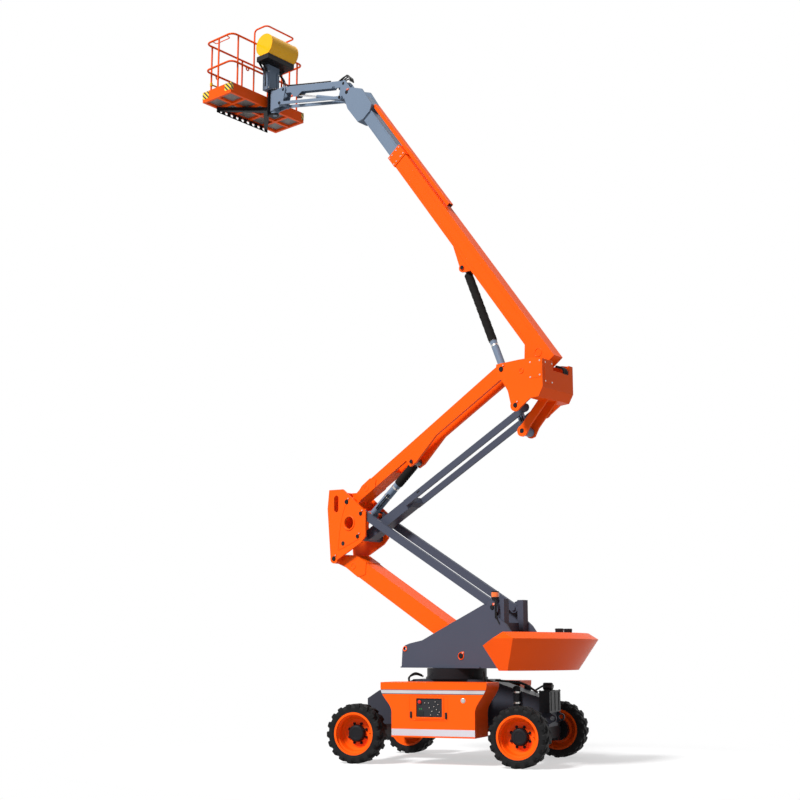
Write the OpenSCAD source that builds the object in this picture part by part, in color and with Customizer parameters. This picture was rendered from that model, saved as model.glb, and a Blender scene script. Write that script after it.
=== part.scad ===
/* [Stance] */
// Distance between the two axles
wheelbase = 2451; // [2200:1:2700]
// Width over the outer faces of the tyres
overall_w = 2490; // [2400:1:2600]
// Offset of the wheelbase's middle from the slew axis, towards the steered axle
axle_shift = 63; // [0:1:150]
// Angle of the upper works about the slew axis, as parked
slew_angle = -19.07; // [-180:0.01:180]

/* [Wheels] */
// Outside diameter of a tyre, over its lugs
tyre_d = 840; // [800:1:900]
// Width of a tyre
tyre_w = 300; // [260:1:340]
// Depth of a tyre's lugs
lug_depth = 25; // [10:1:35]
// Number of lugs on each side of a tyre
lug_count = 18; // [12:1:22]
// Radius of the rim's seat under the tyre
rim_seat_r = 286; // [260:1:300]
// Height of the rim's lip above its seat
rim_lip = 16; // [8:1:24]
// Thickness of the rim's barrel
rim_wall = 14; // [8:1:20]
// Depth of the wheel disc behind the outer lip
disc_depth = 195; // [120:1:210]
// Radius of the hub cover
hub_r = 115; // [90:1:125]
// Radius of the spindle that carries a wheel
spindle_r = 55; // [40:1:65]

/* [Chassis] */
// Height of the chassis box's underside
frame_z = 560; // [480:1:620]
// Height of the chassis box's top, under the slew ring
frame_top = 1180; // [1100:1:1250]
// Half width of the chassis box
frame_half_w = 360; // [300:1:420]
// Length of the chassis box at the middle
frame_len = 1150; // [1000:1:1300]
// Thickness of the chassis plates
frame_plate = 14; // [8:1:25]
// Half height and half width of an axle beam
axle_half = 95; // [70:1:120]
// Distance of a kingpin from the middle plane
kingpin_y = 820; // [780:1:860]
// Radius of a kingpin
kingpin_r = 38; // [25:1:50]
// Radius of a lashing eye's hole
lash_r = 32; // [20:1:40]

/* [Covers] */
// Distance of a side cover's outer face from the middle plane
cover_y = 1150; // [1050:1:1200]
// Depth of a side cover
cover_depth = 600; // [450:1:680]
// Thickness of a cover's wall
cover_wall = 12; // [6:1:20]
// Height of a cover's bottom edge
cover_z = 386; // [340:1:450]
// Height of a cover's top edge
cover_top = 1150; // [1100:1:1170]

/* [Turntable] */
// Outside radius of the slew ring
ring_r = 450; // [400:1:500]
// Height of the slew ring's top
ring_top = 1340; // [1300:1:1360]
// Half gap between the turntable's two side plates
turret_gap = 300; // [290:1:310]
// Thickness of a turntable side plate
turret_plate = 40; // [25:1:45]
// Radius that the counterweight's tail sweeps
tail_r = 2126; // [2050:1:2200]
// Half width of the counterweight
tail_half_w = 1090; // [1000:1:1120]
// Height of the counterweight's underside
tail_z = 1320; // [1300:1:1360]
// Height of the counterweight's top
tail_top = 1850; // [1800:1:1860]

/* [Riser] */
// Lower boom's foot pin, distance behind the slew axis
foot_u = 346; // [300:1:400]
// Lower boom's foot pin, height
foot_z = 1520; // [1480:1:1560]
// Pin to pin length of the lower boom
lower_len = 3069; // [2900:1:3200]
// Angle of the lower boom above the level
lower_angle = 30.5; // [25:0.1:40]
// Half width of the lower boom
lower_half_w = 165; // [150:1:170]
// Depth of the lower boom
lower_h = 270; // [230:1:290]
// Pin to pin length of the mid boom
mid_len = 3662; // [3500:1:3800]
// Angle of the mid boom above the level
mid_angle = 28.26; // [24:0.01:36]
// Half width of the mid boom
mid_half_w = 128; // [125:1:140]
// Half gap of the mid boom's fork, where the lift cylinder passes
fork_gap = 82; // [80:1:90]
// Wall thickness of the riser booms
riser_wall = 8; // [6:1:14]
// Depth of a tie rod
tie_h = 120; // [90:1:130]
// Width of a tie rod
tie_w = 60; // [40:1:62]
// Radius of the riser's main pins
riser_pin_r = 45; // [35:1:50]
// Radius of the riser's link pins
link_pin_r = 35; // [28:1:40]

/* [Upper boom] */
// Angle of the main boom above the level
main_angle = 53.5; // [45:0.1:60]
// Length of the base boom ahead of its pivot, collar included
base_len = 4890; // [4600:1:5100]
// Depth of the base boom
base_h = 278; // [270:1:300]
// Half width of the base boom
base_half_w = 118; // [114:1:124]
// Height of the base boom's underside above its pivot
base_rise = 248; // [240:1:260]
// Wall thickness of the telescoping booms
boom_wall = 8; // [6:1:10]
// Depth of the fly boom
fly_h = 216; // [200:1:230]
// Half width of the fly boom
fly_half_w = 100; // [90:1:102]
// Length of the fly boom that shows ahead of the collar
fly_out = 1100; // [1000:1:1500]
// Length of the fly boom inside the base boom
fly_in = 3500; // [3000:1:3700]
// Radius of the main boom's pivot pin
main_pin_r = 45; // [35:1:50]

/* [Cylinders] */
// Radius of the main lift cylinder's barrel
lift_r = 58; // [50:1:60]
// Length of the main lift cylinder's barrel from its pin
lift_barrel_len = 1640; // [1500:1:1800]
// Radius of the riser cylinder's barrel
riser_r = 62; // [50:1:66]
// Length of the riser cylinder's barrel from its pin
riser_barrel_len = 760; // [650:1:850]
// Radius of the jib cylinder's barrel
jib_cyl_r = 36; // [30:1:38]
// Length of the jib cylinder's barrel from its pin
jib_barrel_len = 700; // [600:1:720]
// Thickness of the sleeves over the rods
sleeve_wall = 4; // [3:1:6]

/* [Jib] */
// Pin to pin length of the jib
jib_len = 1559; // [1450:1:1700]
// Angle of the jib above the level
jib_angle = 12.4; // [5:0.1:20]
// Half gap between the plates of the nose bracket and the jib head
nose_gap = 65; // [64:1:70]
// Thickness of a nose or head plate
nose_plate = 20; // [14:1:24]
// Radius of the jib's pins
jib_pin_r = 28; // [20:1:32]
// Radius of the platform rotator
rotator_r = 72; // [60:1:80]

/* [Platform] */
// Length of the platform across the boom
plat_len = 1880; // [1700:1:2000]
// Depth of the platform along the boom
plat_depth = 770; // [700:1:850]
// Distance of the platform's boom side from the rotator's axis
plat_gap = 190; // [185:1:220]
// Drop of the platform's underside below the jib head's upper pin
plat_drop = 198.8; // [180:0.1:220]
// Height of the platform over its top rail
plat_h = 1200; // [1100:1:1250]
// Radius of the rail tubes
rail_r = 19; // [15:1:22]
// Radius of the rail's corners, at the tube's middle
rail_corner = 110; // [80:1:140]
// Height of the kick plates
kick_h = 150; // [120:1:180]

/* [Hidden] */
$fn = 64;

// Radial clearance of a pin or spindle in its bore
fit = 0.05;
// Side clearance between a moving piece and its neighbour
gap = 5;

orange = [0.95, 0.35, 0.05];
dark_grey = [0.25, 0.27, 0.30];
blue_grey = [0.42, 0.48, 0.54];
black = [0.06, 0.06, 0.07];
steel = [0.62, 0.66, 0.70];
yellow = [0.95, 0.70, 0.05];

tyre_r = tyre_d / 2;
wheel_y = (overall_w - tyre_w) / 2;
fixed_x = axle_shift - wheelbase / 2;
steer_x = axle_shift + wheelbase / 2;

// Points along a member that rises to the left or to the right, as [u, z]
function rise_left(len, angle) = [-len * cos(angle), len * sin(angle)];
function rise_right(len, angle) = [len * cos(angle), len * sin(angle)];
// A point at x along and z across a member that rises to the left or right from p
function on_left(p, angle, x, z) = p + x * [cos(angle), -sin(angle)] + z * [sin(angle), cos(angle)];
function on_right(p, angle, x, z) = p + x * [cos(angle), sin(angle)] + z * [-sin(angle), cos(angle)];
// An offset as a member that rises to the right sees it
function in_right(d, angle) = [d.x * cos(angle) + d.y * sin(angle), d.y * cos(angle) - d.x * sin(angle)];

// Fixed offsets inside the level brackets
tie_offset = [583, 697];
mid_offset = [273, 909];
link_offset = [246, -577];
main_offset = [229, -21];
lift_offset = [163, -915];
jib_offset = [-118, 214];
jib_link_offset = [-57, -260];
rotator_offset = -290;

// Pins of the riser
p1 = [foot_u, foot_z];
p2 = p1 + tie_offset;
q1 = p1 + rise_left(lower_len, lower_angle);
q2 = q1 + tie_offset;
q3 = q1 + mid_offset;
q4 = q3 + link_offset;
r3 = q3 + rise_right(mid_len, mid_angle);
r4 = r3 + link_offset;

// Pins of the main boom and its cylinder
s1 = r3 + main_offset;
c1 = r3 + lift_offset;
lift_lug = [-2185, 157];
h1 = on_left(s1, main_angle, lift_lug.x, lift_lug.y);
lift_angle = 180 - atan2(h1.y - c1.y, h1.x - c1.x);
lift_len = norm(h1 - c1);
lift_eye_r = 45;

// Pins of the riser cylinder
riser_lug = [1364, -95];
rh = on_right(q3, mid_angle, riser_lug.x, riser_lug.y);
riser_angle = atan2(rh.y - q2.y, rh.x - q2.x);
riser_len = norm(rh - q2);
riser_eye_r = 50;

// Pins of the nose, jib and its cylinder
nose_reach = base_len + fly_out + 667;
fly_mid = base_rise + base_h / 2;
nose_drop = 52;
n1 = on_left(s1, main_angle, -nose_reach, fly_mid - nose_drop);
j1 = n1 + jib_offset;
j2 = j1 + jib_link_offset;
k1 = j1 + rise_left(jib_len, jib_angle);
k2 = k1 + jib_link_offset;
jib_lug = [-1222, -100];
jh = on_left(j1, jib_angle, jib_lug.x, jib_lug.y);
jib_cyl_angle = 180 - atan2(jh.y - j2.y, jh.x - j2.x);
jib_cyl_len = norm(jh - j2);
jib_eye_r = 34;

// Platform's place
rot_u = k1.x + rotator_offset;
plat_u1 = rot_u - plat_gap;
plat_u0 = plat_u1 - plat_depth;
plat_mid = (plat_u0 + plat_u1) / 2;
plat_z = k1.y - plat_drop;
plat_top = plat_z + plat_h;

// Turns the upper works to their parked angle
module slewed() {
    rotate([0, 0, slew_angle]) children();
}

// Extrudes an outline drawn in length and height from v0 to v1 across the machine
module across(v0, v1) {
    translate([0, v1, 0]) rotate([90, 0, 0]) linear_extrude(v1 - v0) children();
}

// The same on both sides of the middle plane
module both_sides(v0, v1) {
    across(v0, v1) children();
    across(-v1, -v0) children();
}

// Places children at a pin, turned so that a member rising to the left lies along -X
module left_member(p, angle) {
    translate([p.x, 0, p.y]) rotate([0, angle, 0]) children();
}

// Places children at a pin, turned so that a member rising to the right lies along +X
module right_member(p, angle) {
    translate([p.x, 0, p.y]) rotate([0, -angle, 0]) children();
}

// A round bar across the machine at an [u, z] point
module bar(p, r, v0, v1) {
    translate([p.x, v1, p.y]) rotate([90, 0, 0]) cylinder(r = r, h = v1 - v0);
}

// Two round bars, one on each side
module bar_pair(p, r, v0, v1) {
    bar(p, r, v0, v1);
    bar(p, r, -v1, -v0);
}

// A round bar along X from x0 to x1
module rod_x(x0, x1, r) {
    translate([x0, 0, 0]) rotate([0, 90, 0]) cylinder(r = r, h = x1 - x0);
}

// A rectangle from corner to corner
module box2(a, b) {
    translate(a) square(b - a);
}

// A block from corner to corner
module block(a, b) {
    translate(a) cube(b - a);
}

// A block that lies alike on both sides of the middle plane
module wide_block(x0, x1, half_w, z0, z1) {
    block([x0, -half_w, z0], [x1, half_w, z1]);
}

// Chassis

// Puts a wheel's own frame, +Z outwards, at an axle's end
module at_wheel(x, side) {
    translate([x, side * wheel_y, tyre_r]) rotate([-90 * side, 0, 0]) children();
}

rim_lip_r = rim_seat_r + rim_lip;
lip_z = tyre_w / 2 - 10;
lip_t = 9;
bead_z = lip_z - lip_t;
tread_edge = 24;

tread_r = tyre_r - lug_depth;
wall_z = tyre_w / 2 - 5;
shoulder_z = tyre_w / 2 - 34;
shoulder_r = tread_r - 37;
lug_foot_r = tyre_r - 42;
lug_mid = 8;
lug_flank = 1.6;
lug_pitch = 360 / lug_count;
// The bore's flats lie on the rim's seat, so its corners stand a little outside
seat_gap = 0.3;
bore_r = (rim_seat_r + seat_gap) / cos((lug_pitch / 2 - lug_flank) / 2);
station_n = 4 * lug_count;

// A tyre's section from bead to bead, with a lug on its inner or its outer side
function tyre_section(inner, outer) = [
    [bore_r, seat_gap - bead_z], [rim_lip_r + 2, seat_gap - bead_z],
    inner ? [lug_foot_r, -tyre_w / 2] : [shoulder_r, -wall_z],
    inner ? [tyre_r, tread_edge - tyre_w / 2] : [tread_r, -shoulder_z],
    [inner ? tyre_r : tread_r, -lug_mid],
    [outer ? tyre_r : tread_r, lug_mid],
    outer ? [tyre_r, tyre_w / 2 - tread_edge] : [tread_r, shoulder_z],
    outer ? [lug_foot_r, tyre_w / 2] : [shoulder_r, wall_z],
    [rim_lip_r + 2, bead_z - seat_gap], [bore_r, bead_z - seat_gap]];
section_n = len(tyre_section(false, true));

// Angles where a lug's flank starts or ends, four in each pitch
function station_angle(k) =
    floor(k / 4) * lug_pitch + [0, lug_flank, lug_pitch / 2, lug_pitch / 2 + lug_flank][k % 4];
function on_outer(k) = k % 4 == 1 || k % 4 == 2;
function ring_point(k, j) = (k % station_n) * section_n + j % section_n;

// A tyre, swept through its stations so that lugs reach in by turns from each side
module tyre_shape() {
    color(black) polyhedron(
        points = [for (k = [0 : station_n - 1], p = tyre_section(!on_outer(k), on_outer(k)))
            [p.x * cos(station_angle(k)), p.x * sin(station_angle(k)), p.y]],
        faces = [for (k = [0 : station_n - 1], j = [0 : section_n - 1]) each [
            [ring_point(k, j), ring_point(k, j + 1), ring_point(k + 1, j + 1)],
            [ring_point(k, j), ring_point(k + 1, j + 1), ring_point(k + 1, j)]]]);
}

disc_z = lip_z - disc_depth;
disc_t = 16;
hub_len = 86;
rim_in = rim_seat_r - rim_wall;
// Slope of the rim's barrel between its lip and the disc
barrel_step = 20;
barrel_taper = 16;

module rim_shape() {
    color(orange) difference() {
        rotate_extrude() polygon([
            [rim_in, -lip_z], [rim_lip_r, -lip_z], [rim_lip_r, -bead_z], [rim_seat_r, -bead_z],
            [rim_seat_r, bead_z], [rim_lip_r, bead_z], [rim_lip_r, lip_z], [rim_in, lip_z],
            [rim_in, lip_z - 2 * barrel_step], [rim_in - barrel_step, lip_z - 3 * barrel_step],
            [rim_in - barrel_step - barrel_taper, disc_z + disc_t + 2 * barrel_taper],
            [rim_in - barrel_step - 3 * barrel_taper, disc_z + disc_t], [hub_r, disc_z + disc_t],
            [hub_r, disc_z + hub_len], [hub_r - 14, disc_z + hub_len + 14], [0, disc_z + hub_len + 14],
            [0, disc_z], [rim_in - barrel_step - 3 * barrel_taper, disc_z], [rim_in, disc_z - 60]]);
        translate([0, 0, disc_z - 1]) cylinder(r = spindle_r + fit, h = spindle_len + 2);
    }
}

spindle_len = 60;
drum_r = 165;
drum_gap = 12;

// A wheel drive drum and its spindle, in the wheel's frame
module wheel_drive(inner_z) {
    translate([0, 0, inner_z]) cylinder(r = drum_r, h = disc_z - drum_gap - inner_z);
    cylinder_span(spindle_r, disc_z - drum_gap - 1, disc_z + spindle_len - gap);
}

module cylinder_span(r, z0, z1) {
    translate([0, 0, z0]) cylinder(r = r, h = z1 - z0);
}

module tyre_fixed_near() { at_wheel(fixed_x, -1) tyre_shape(); }
module tyre_fixed_far() { at_wheel(fixed_x, 1) tyre_shape(); }
module tyre_steer_near() { at_wheel(steer_x, -1) tyre_shape(); }
module tyre_steer_far() { at_wheel(steer_x, 1) tyre_shape(); }
module rim_fixed_near() { at_wheel(fixed_x, -1) rim_shape(); }
module rim_fixed_far() { at_wheel(fixed_x, 1) rim_shape(); }
module rim_steer_near() { at_wheel(steer_x, -1) rim_shape(); }
module rim_steer_far() { at_wheel(steer_x, 1) rim_shape(); }

shelf_x = 330;
shelf_w = 90;
shelf_h = 80;
shelf_top = 585;
arm_half_w = 250;
arm_top = 1010;
arm_reach = 190;
eye_reach = 110;
eye_t = 25;
eye_z = 640;

// The welded chassis: a box under the slew ring and an arm to each axle
module chassis_frame() {
    color(dark_grey) difference() {
        union() {
            wide_block(-frame_len / 2, frame_len / 2, frame_half_w, frame_z, frame_top);
            across(-arm_half_w, arm_half_w) polygon([
                [fixed_x - arm_reach, tyre_r + axle_half], [steer_x + arm_reach, tyre_r + axle_half],
                [steer_x + arm_reach, arm_top - 120], [steer_x - arm_reach, arm_top],
                [frame_len / 2 - 1, frame_top], [1 - frame_len / 2, frame_top],
                [fixed_x, arm_top], [fixed_x - arm_reach, arm_top - 120]]);
            for (x = [fixed_x - arm_reach, steer_x + arm_reach])
                both_sides(arm_half_w - eye_t, arm_half_w) lash_eye(x);
            color(black) end_gear();
            for (x = [-shelf_x, shelf_x])
                wide_block(x - shelf_w / 2, x + shelf_w / 2, cover_y - cover_wall,
                           shelf_top - shelf_h, shelf_top);
        }
        wide_block(frame_plate - frame_len / 2, frame_len / 2 - frame_plate, frame_half_w - frame_plate,
                   frame_z + frame_plate, frame_top - frame_plate);
        across(frame_plate - arm_half_w, arm_half_w - frame_plate) polygon([
            [fixed_x - arm_reach + frame_plate, tyre_r + axle_half + frame_plate],
            [steer_x + arm_reach - frame_plate, tyre_r + axle_half + frame_plate],
            [steer_x + arm_reach - frame_plate, arm_top - 120 - frame_plate],
            [steer_x - arm_reach, arm_top - frame_plate], [frame_len / 2, frame_top - 2 * frame_plate],
            [-frame_len / 2, frame_top - 2 * frame_plate], [fixed_x, arm_top - frame_plate],
            [fixed_x - arm_reach + frame_plate, arm_top - 120 - frame_plate]]);
    }
}

valve_box = [[steer_x + 72, -320, 720], [steer_x + 226, 300, 1015]];
pot_r = 52;
pot_h = 300;
pot_y = arm_half_w + pot_r - 14;
pot_x = steer_x - 270;
pot_z = 780;

// The valve box on the steered end and the oil pots beside the arm
module end_gear() {
    block(valve_box[0], valve_box[1]);
    for (side = [-1, 1])
        translate([pot_x, side * pot_y, 0]) {
            cylinder_span(pot_r, pot_z, pot_z + pot_h);
            cylinder_span(pot_r - 16, pot_z, pot_z + pot_h + 14);
        }
}

// A lashing eye at an end of the chassis
module lash_eye(x) {
    out = x > 0 ? eye_reach : -eye_reach;
    difference() {
        union() {
            polygon([[x, eye_z - 90], [x + out / 2, eye_z - 55], [x + out / 2, eye_z + 55], [x, eye_z + 90]]);
            translate([x + out / 2, eye_z]) circle(r = 55);
        }
        translate([x + out / 2, eye_z]) circle(r = lash_r);
    }
}

fixed_drum_in = -260;

module axle_fixed() {
    color(black) {
        translate([fixed_x, 0, tyre_r])
            wide_block(-axle_half, axle_half, wheel_y + fixed_drum_in + 1, -axle_half, axle_half);
        for (side = [-1, 1])
            at_wheel(fixed_x, side) wheel_drive(fixed_drum_in);
    }
}

yoke_t = 40;
yoke_h = 105;
yoke_r = 75;
steer_beam_end = 110;

module axle_steer() {
    color(black) translate([steer_x, 0, tyre_r]) {
        wide_block(-axle_half, axle_half, kingpin_y - steer_beam_end, -axle_half, axle_half);
        for (side = [-1, 1]) {
            for (z = [-yoke_h - yoke_t, yoke_h])
                difference() {
                    union() {
                        translate([0, side * kingpin_y, z]) cylinder(r = yoke_r, h = yoke_t);
                        block([-yoke_r, side > 0 ? kingpin_y - steer_beam_end - 60 : -kingpin_y, z],
                              [yoke_r, side > 0 ? kingpin_y : steer_beam_end + 60 - kingpin_y, z + yoke_t]);
                    }
                    translate([0, side * kingpin_y, z - 1]) cylinder(r = kingpin_r + fit, h = yoke_t + 2);
                }
            translate([-yoke_r, side > 0 ? kingpin_y - steer_beam_end - 60 : steer_beam_end - kingpin_y,
                       -yoke_h - 1])
                cube([2 * yoke_r, 60, 2 * yoke_h + 2]);
        }
    }
}

knuckle_in = kingpin_y - wheel_y;

module knuckle(side) {
    color(black) {
        translate([steer_x, side * kingpin_y, tyre_r - yoke_h - yoke_t])
            cylinder(r = kingpin_r, h = 2 * (yoke_h + yoke_t));
        translate([steer_x, side * kingpin_y, tyre_r - yoke_h + gap])
            cylinder(r = yoke_r - gap, h = 2 * (yoke_h - gap));
        at_wheel(steer_x, side) {
            wheel_drive(knuckle_in + yoke_r + 40);
            translate([0, 0, knuckle_in]) cylinder(r = yoke_r - gap, h = yoke_r + 41);
        }
    }
}

module knuckle_near() { knuckle(-1); }
module knuckle_far() { knuckle(1); }

// Side cover's ends: heights and places of the waisted outline, from the slew axis
cover_x0 = -775;
cover_x1 = 832;
waist_x0 = -603;
waist_x1 = 655;
waist_z = 730;
brow_z0 = 1070;
brow_z1 = 1120;
ogee_steps = 10;

// A double curve between two points that leaves and meets the upright
function ogee(a, b) = [for (i = [0 : ogee_steps])
    [a.x + (b.x - a.x) * (1 - cos(180 * i / ogee_steps)) / 2, a.y + (b.y - a.y) * i / ogee_steps]];

// Outline of a cover along the chassis, with walls of thickness t taken off
function cover_outline(t) = concat(
    [[waist_x0 + t, cover_z + t], [waist_x1 - t, cover_z + t]],
    ogee([waist_x1 - t, waist_z], [cover_x1 - t, brow_z1]),
    [[cover_x1 - t, cover_top - t], [cover_x0 + t, cover_top - t]],
    ogee([cover_x0 + t, brow_z0], [waist_x0 + t, waist_z]));

panel_x0 = -225;
panel_x1 = 173;
panel_z0 = 665;
panel_z1 = 932;
panel_deep = 60;

module cover_near() { mirror([0, 1, 0]) cover_shell(true); }
module cover_far() { cover_shell(false); }

// A side cover, open towards the chassis
module cover_shell(has_panel) {
    color(orange) difference() {
        across(cover_y - cover_depth, cover_y) polygon(cover_outline(0));
        across(cover_y - cover_depth - 1, cover_y - cover_wall) polygon(cover_outline(cover_wall));
        if (has_panel)
            across(cover_y - cover_wall - 1, cover_y + 1) box2([panel_x0, panel_z0], [panel_x1, panel_z1]);
    }
}

// The ground control panel, set into the near cover
module ground_panel() {
    color(black) mirror([0, 1, 0])
        across(cover_y - panel_deep, cover_y - cover_wall)
            box2([panel_x0 - 30, panel_z0 - 30], [panel_x1 + 30, panel_z1 + 30]);
}

engine_len = 850;
engine_deep = 420;
engine_z0 = shelf_top;
engine_z1 = engine_z0 + 420;

module engine_block() {
    color(dark_grey)
        block([-engine_len / 2, cover_y - 60 - engine_deep, engine_z0],
              [engine_len / 2, cover_y - 60, engine_z1]);
}

ring_bore_r = ring_r - 110;

module slew_ring() {
    color(black) difference() {
        cylinder_span(ring_r, frame_top, ring_top);
        cylinder_span(ring_bore_r, frame_top - 1, ring_top + 1);
    }
}

// Turntable

deck_z = ring_top + gap;
deck_t = 26;
spigot_deep = 70;
spigot_wall = 40;
nose_u = -808;
tail_deep = 726;
tail_u = tail_r - tail_deep;
ledge_w = 25;
ledge_t = 18;
ledge_end = 700;
hoist_eye = [nose_u + 70, 1628];
hoist_r = 24;
post_u0 = p2.x + 76;
post_u1 = post_u0 + 105;
post_v0 = 180;
post_top = 2336;
post_wall = 8;
screen_top = 2000;

turret_outline = [
    [nose_u, deck_z], [tail_u, deck_z], [tail_u, tail_top - 190], [tail_u - 228, tail_top + 109], [786, 2268],
    [38, 1946], [-400, 1753], [-640, 1710], [-740, 1680], [-790, 1620]];

module turntable() {
    color(dark_grey) slewed() difference() {
        union() {
            both_sides(turret_gap, turret_gap + turret_plate) union() {
                polygon(turret_outline);
                translate(p2) circle(r = tie_lobe_r);
                box2([beacon_u - 45, p2.y - 60], [beacon_u + 45, beacon_foot]);
            }
            wide_block(nose_u, tail_u, turret_gap + turret_plate, deck_z, deck_z + deck_t);
            wide_block(nose_u, ledge_end, turret_gap + turret_plate + ledge_w, deck_z, deck_z + ledge_t);
            wide_block(tail_u - 40, tail_u, turret_gap + 1, deck_z, tail_top - 200);
            both_sides(post_v0, turret_gap + 1) box2([post_u0, deck_z], [post_u1, post_top]);
            wide_block(post_u0, post_u0 + 20, post_v0 + 1, deck_z, screen_top);
            bar(p1, riser_pin_r, -turret_gap - turret_plate, turret_gap + turret_plate);
            bar_pair(p2, link_pin_r, tie_v0 - 20, turret_gap + turret_plate);
            cylinder_span(ring_bore_r - fit, ring_top - spigot_deep, deck_z + 1);
        }
        cylinder_span(ring_bore_r - spigot_wall, ring_top - spigot_deep - 1, deck_z + deck_t + 1);
        both_sides(post_v0 + post_wall, turret_gap - post_wall)
            box2([post_u0 + post_wall, deck_z + deck_t], [post_u1 - post_wall, post_top - post_wall]);
        bar_pair(hoist_eye, hoist_r, turret_gap - 1, turret_gap + turret_plate + 1);
    }
}

// Outline of the counterweight along the machine: a nose that leans forward, cut under and over
tail_nose = [tail_r - 847, tail_top - 185];
tail_top_u = tail_r - 471;
tail_foot_u = tail_r - 684;
tail_lip_z = tail_top - 90;
tail_under = 299;
tail_over = 143;
tail_taper = 190;
cap_r = 60;
cap_h = 55;
cap_u = tail_r - 466;
cap_v = [300, 525];

module counterweight() {
    color(orange) slewed() difference() {
        intersection() {
            across(-tail_half_w, tail_half_w) polygon([
                [tail_foot_u, tail_z], [tail_r, tail_z], [tail_r, tail_top],
                [tail_top_u, tail_top], tail_nose]);
            rotate_extrude($fn = 720) polygon([
                [0, tail_z], [tail_r - tail_under, tail_z], [tail_r, tail_lip_z],
                [tail_r - tail_over, tail_top], [0, tail_top]]);
            rotate([90, 0, 90]) linear_extrude(height = tail_r + 1) polygon([
                [tail_taper - tail_half_w, tail_z - 1], [tail_half_w - tail_taper, tail_z - 1],
                [tail_half_w, tail_lip_z], [tail_half_w, tail_top + 1], [-tail_half_w, tail_top + 1],
                [-tail_half_w, tail_lip_z]]);
        }
        wide_block(0, tail_u, turret_gap + turret_plate + 60, tail_z - 1, tail_top + 1);
    }
    color(black) slewed() for (v = cap_v)
        translate([cap_u, v, 0]) cylinder_span(cap_r, tail_top - 1, tail_top + cap_h);
}

beacon_u = 970;
beacon_v = -(turret_gap + turret_plate / 2);
tie_lobe_r = 110;
beacon_foot = p2.y + tie_lobe_r + 15;
beacon_r = 55;
beacon_cup = 22;
beacon_top = 2450;

module beacon() {
    slewed() translate([beacon_u, beacon_v, 0]) {
        color(black) cylinder_span(beacon_r + 6, beacon_foot, beacon_foot + beacon_cup);
        color(orange) cylinder_span(beacon_r, beacon_foot + beacon_cup - 1, beacon_top);
    }
}

// Riser

tie_v0 = 194;
lower_z0 = -48;
lower_foot = 60;
lower_cavity = 110;
hub_wall = 35;
lower_hub_v = turret_gap - gap;
mid_plate_v = 262;
mid_plate_t = 30;
mid_hub_v = mid_plate_v - gap;
collar_t = 9;

// Outline of the lower boom, x along and z across, from its foot pin
function lower_outline(t, foot) = [
    [-lower_len + 150 + t, lower_z0 + t], [-230, lower_z0 + t], [-foot, -30 + t], [-foot, 60],
    [-210, lower_z0 + lower_h - t], [-lower_len + 330, lower_z0 + lower_h - t],
    [-lower_len + 150 + t, lower_z0 + lower_h - 130 - t]];

module lower_boom() {
    color(orange) slewed() left_member(p1, lower_angle) difference() {
        union() {
            across(-lower_half_w, lower_half_w) polygon(lower_outline(0, lower_foot));
            across(-lower_half_w - collar_t, lower_half_w + collar_t) polygon([
                [-lower_len + 120, -40], [-lower_len + 520, lower_z0 - 8], [-lower_len + 640, 60],
                [-lower_len + 560, lower_z0 + lower_h + 8], [-lower_len + 300, lower_z0 + lower_h + 8],
                [-lower_len + 120, 90]]);
            both_sides(lower_half_w - 40, lower_half_w) {
                polygon([[-lower_len, -80], [-lower_len + 200, lower_z0],
                         [-lower_len + 200, 150], [-lower_len, 80]]);
                polygon([[-200, lower_z0], [0, -80], [0, 80], [-200, 140]]);
            }
            bar([0, 0], riser_pin_r + hub_wall, -lower_hub_v, lower_hub_v);
            bar([-lower_len, 0], riser_pin_r + hub_wall, -mid_hub_v, mid_hub_v);
        }
        across(riser_wall - lower_half_w, lower_half_w - riser_wall)
            polygon(lower_outline(riser_wall, lower_cavity));
        bar([0, 0], riser_pin_r + fit, -lower_hub_v - 1, lower_hub_v + 1);
        bar([-lower_len, 0], riser_pin_r + fit, -mid_hub_v - 1, mid_hub_v + 1);
    }
}

module tie_rods() {
    color(dark_grey) slewed() left_member(p2, lower_angle) difference() {
        union() {
            both_sides(tie_v0, tie_v0 + tie_w) {
                box2([-lower_len, -tie_h / 2], [0, tie_h / 2]);
                circle(r = tie_h / 2 + 8);
                translate([-lower_len, 0]) circle(r = tie_h / 2 + 8);
            }
        }
        for (x = [0, -lower_len])
            bar([x, 0], link_pin_r + fit, -tie_v0 - tie_w - 1, tie_v0 + tie_w + 1);
    }
}

// Outline of the mid bracket's plates, from the lower boom's head pin
mid_bracket_outline = [
    [-75, -10], [0, -75], [75, -20], [589, 230], [690, 330], [688, 723],
    [182, 1121], [-122, 1130], [-155, 823]];
mid_lobe_r = 80;
sight_r = 95;

module mid_bracket() {
    color(orange) slewed() translate([q1.x, 0, q1.y]) difference() {
        union() {
            both_sides(mid_plate_v, mid_plate_v + mid_plate_t) difference() {
                union() {
                    polygon(mid_bracket_outline);
                    circle(r = mid_lobe_r);
                    translate(mid_offset + link_offset) circle(r = mid_lobe_r);
                }
                translate([330, 560]) circle(r = sight_r);
                translate([40, 800]) circle(r = 50);
                box2([-10, 800], [90, 980]);
                translate([40, 980]) circle(r = 50);
            }
            across(-mid_plate_v - 1, mid_plate_v + 1)
                polygon([[-154, 823], [-110, 350], [-90, 350], [-132, 823], [-104, 1110], [-122, 1128]]);
            bar([0, 0], riser_pin_r, -mid_plate_v - mid_plate_t, mid_plate_v + mid_plate_t);
            bar(tie_offset, link_pin_r, -mid_plate_v - mid_plate_t, mid_plate_v + mid_plate_t);
            bar(mid_offset, riser_pin_r, -mid_plate_v - mid_plate_t, mid_plate_v + mid_plate_t);
            bar(mid_offset + link_offset, link_pin_r, -mid_plate_v - mid_plate_t, mid_plate_v + mid_plate_t);
        }
    }
}

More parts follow.
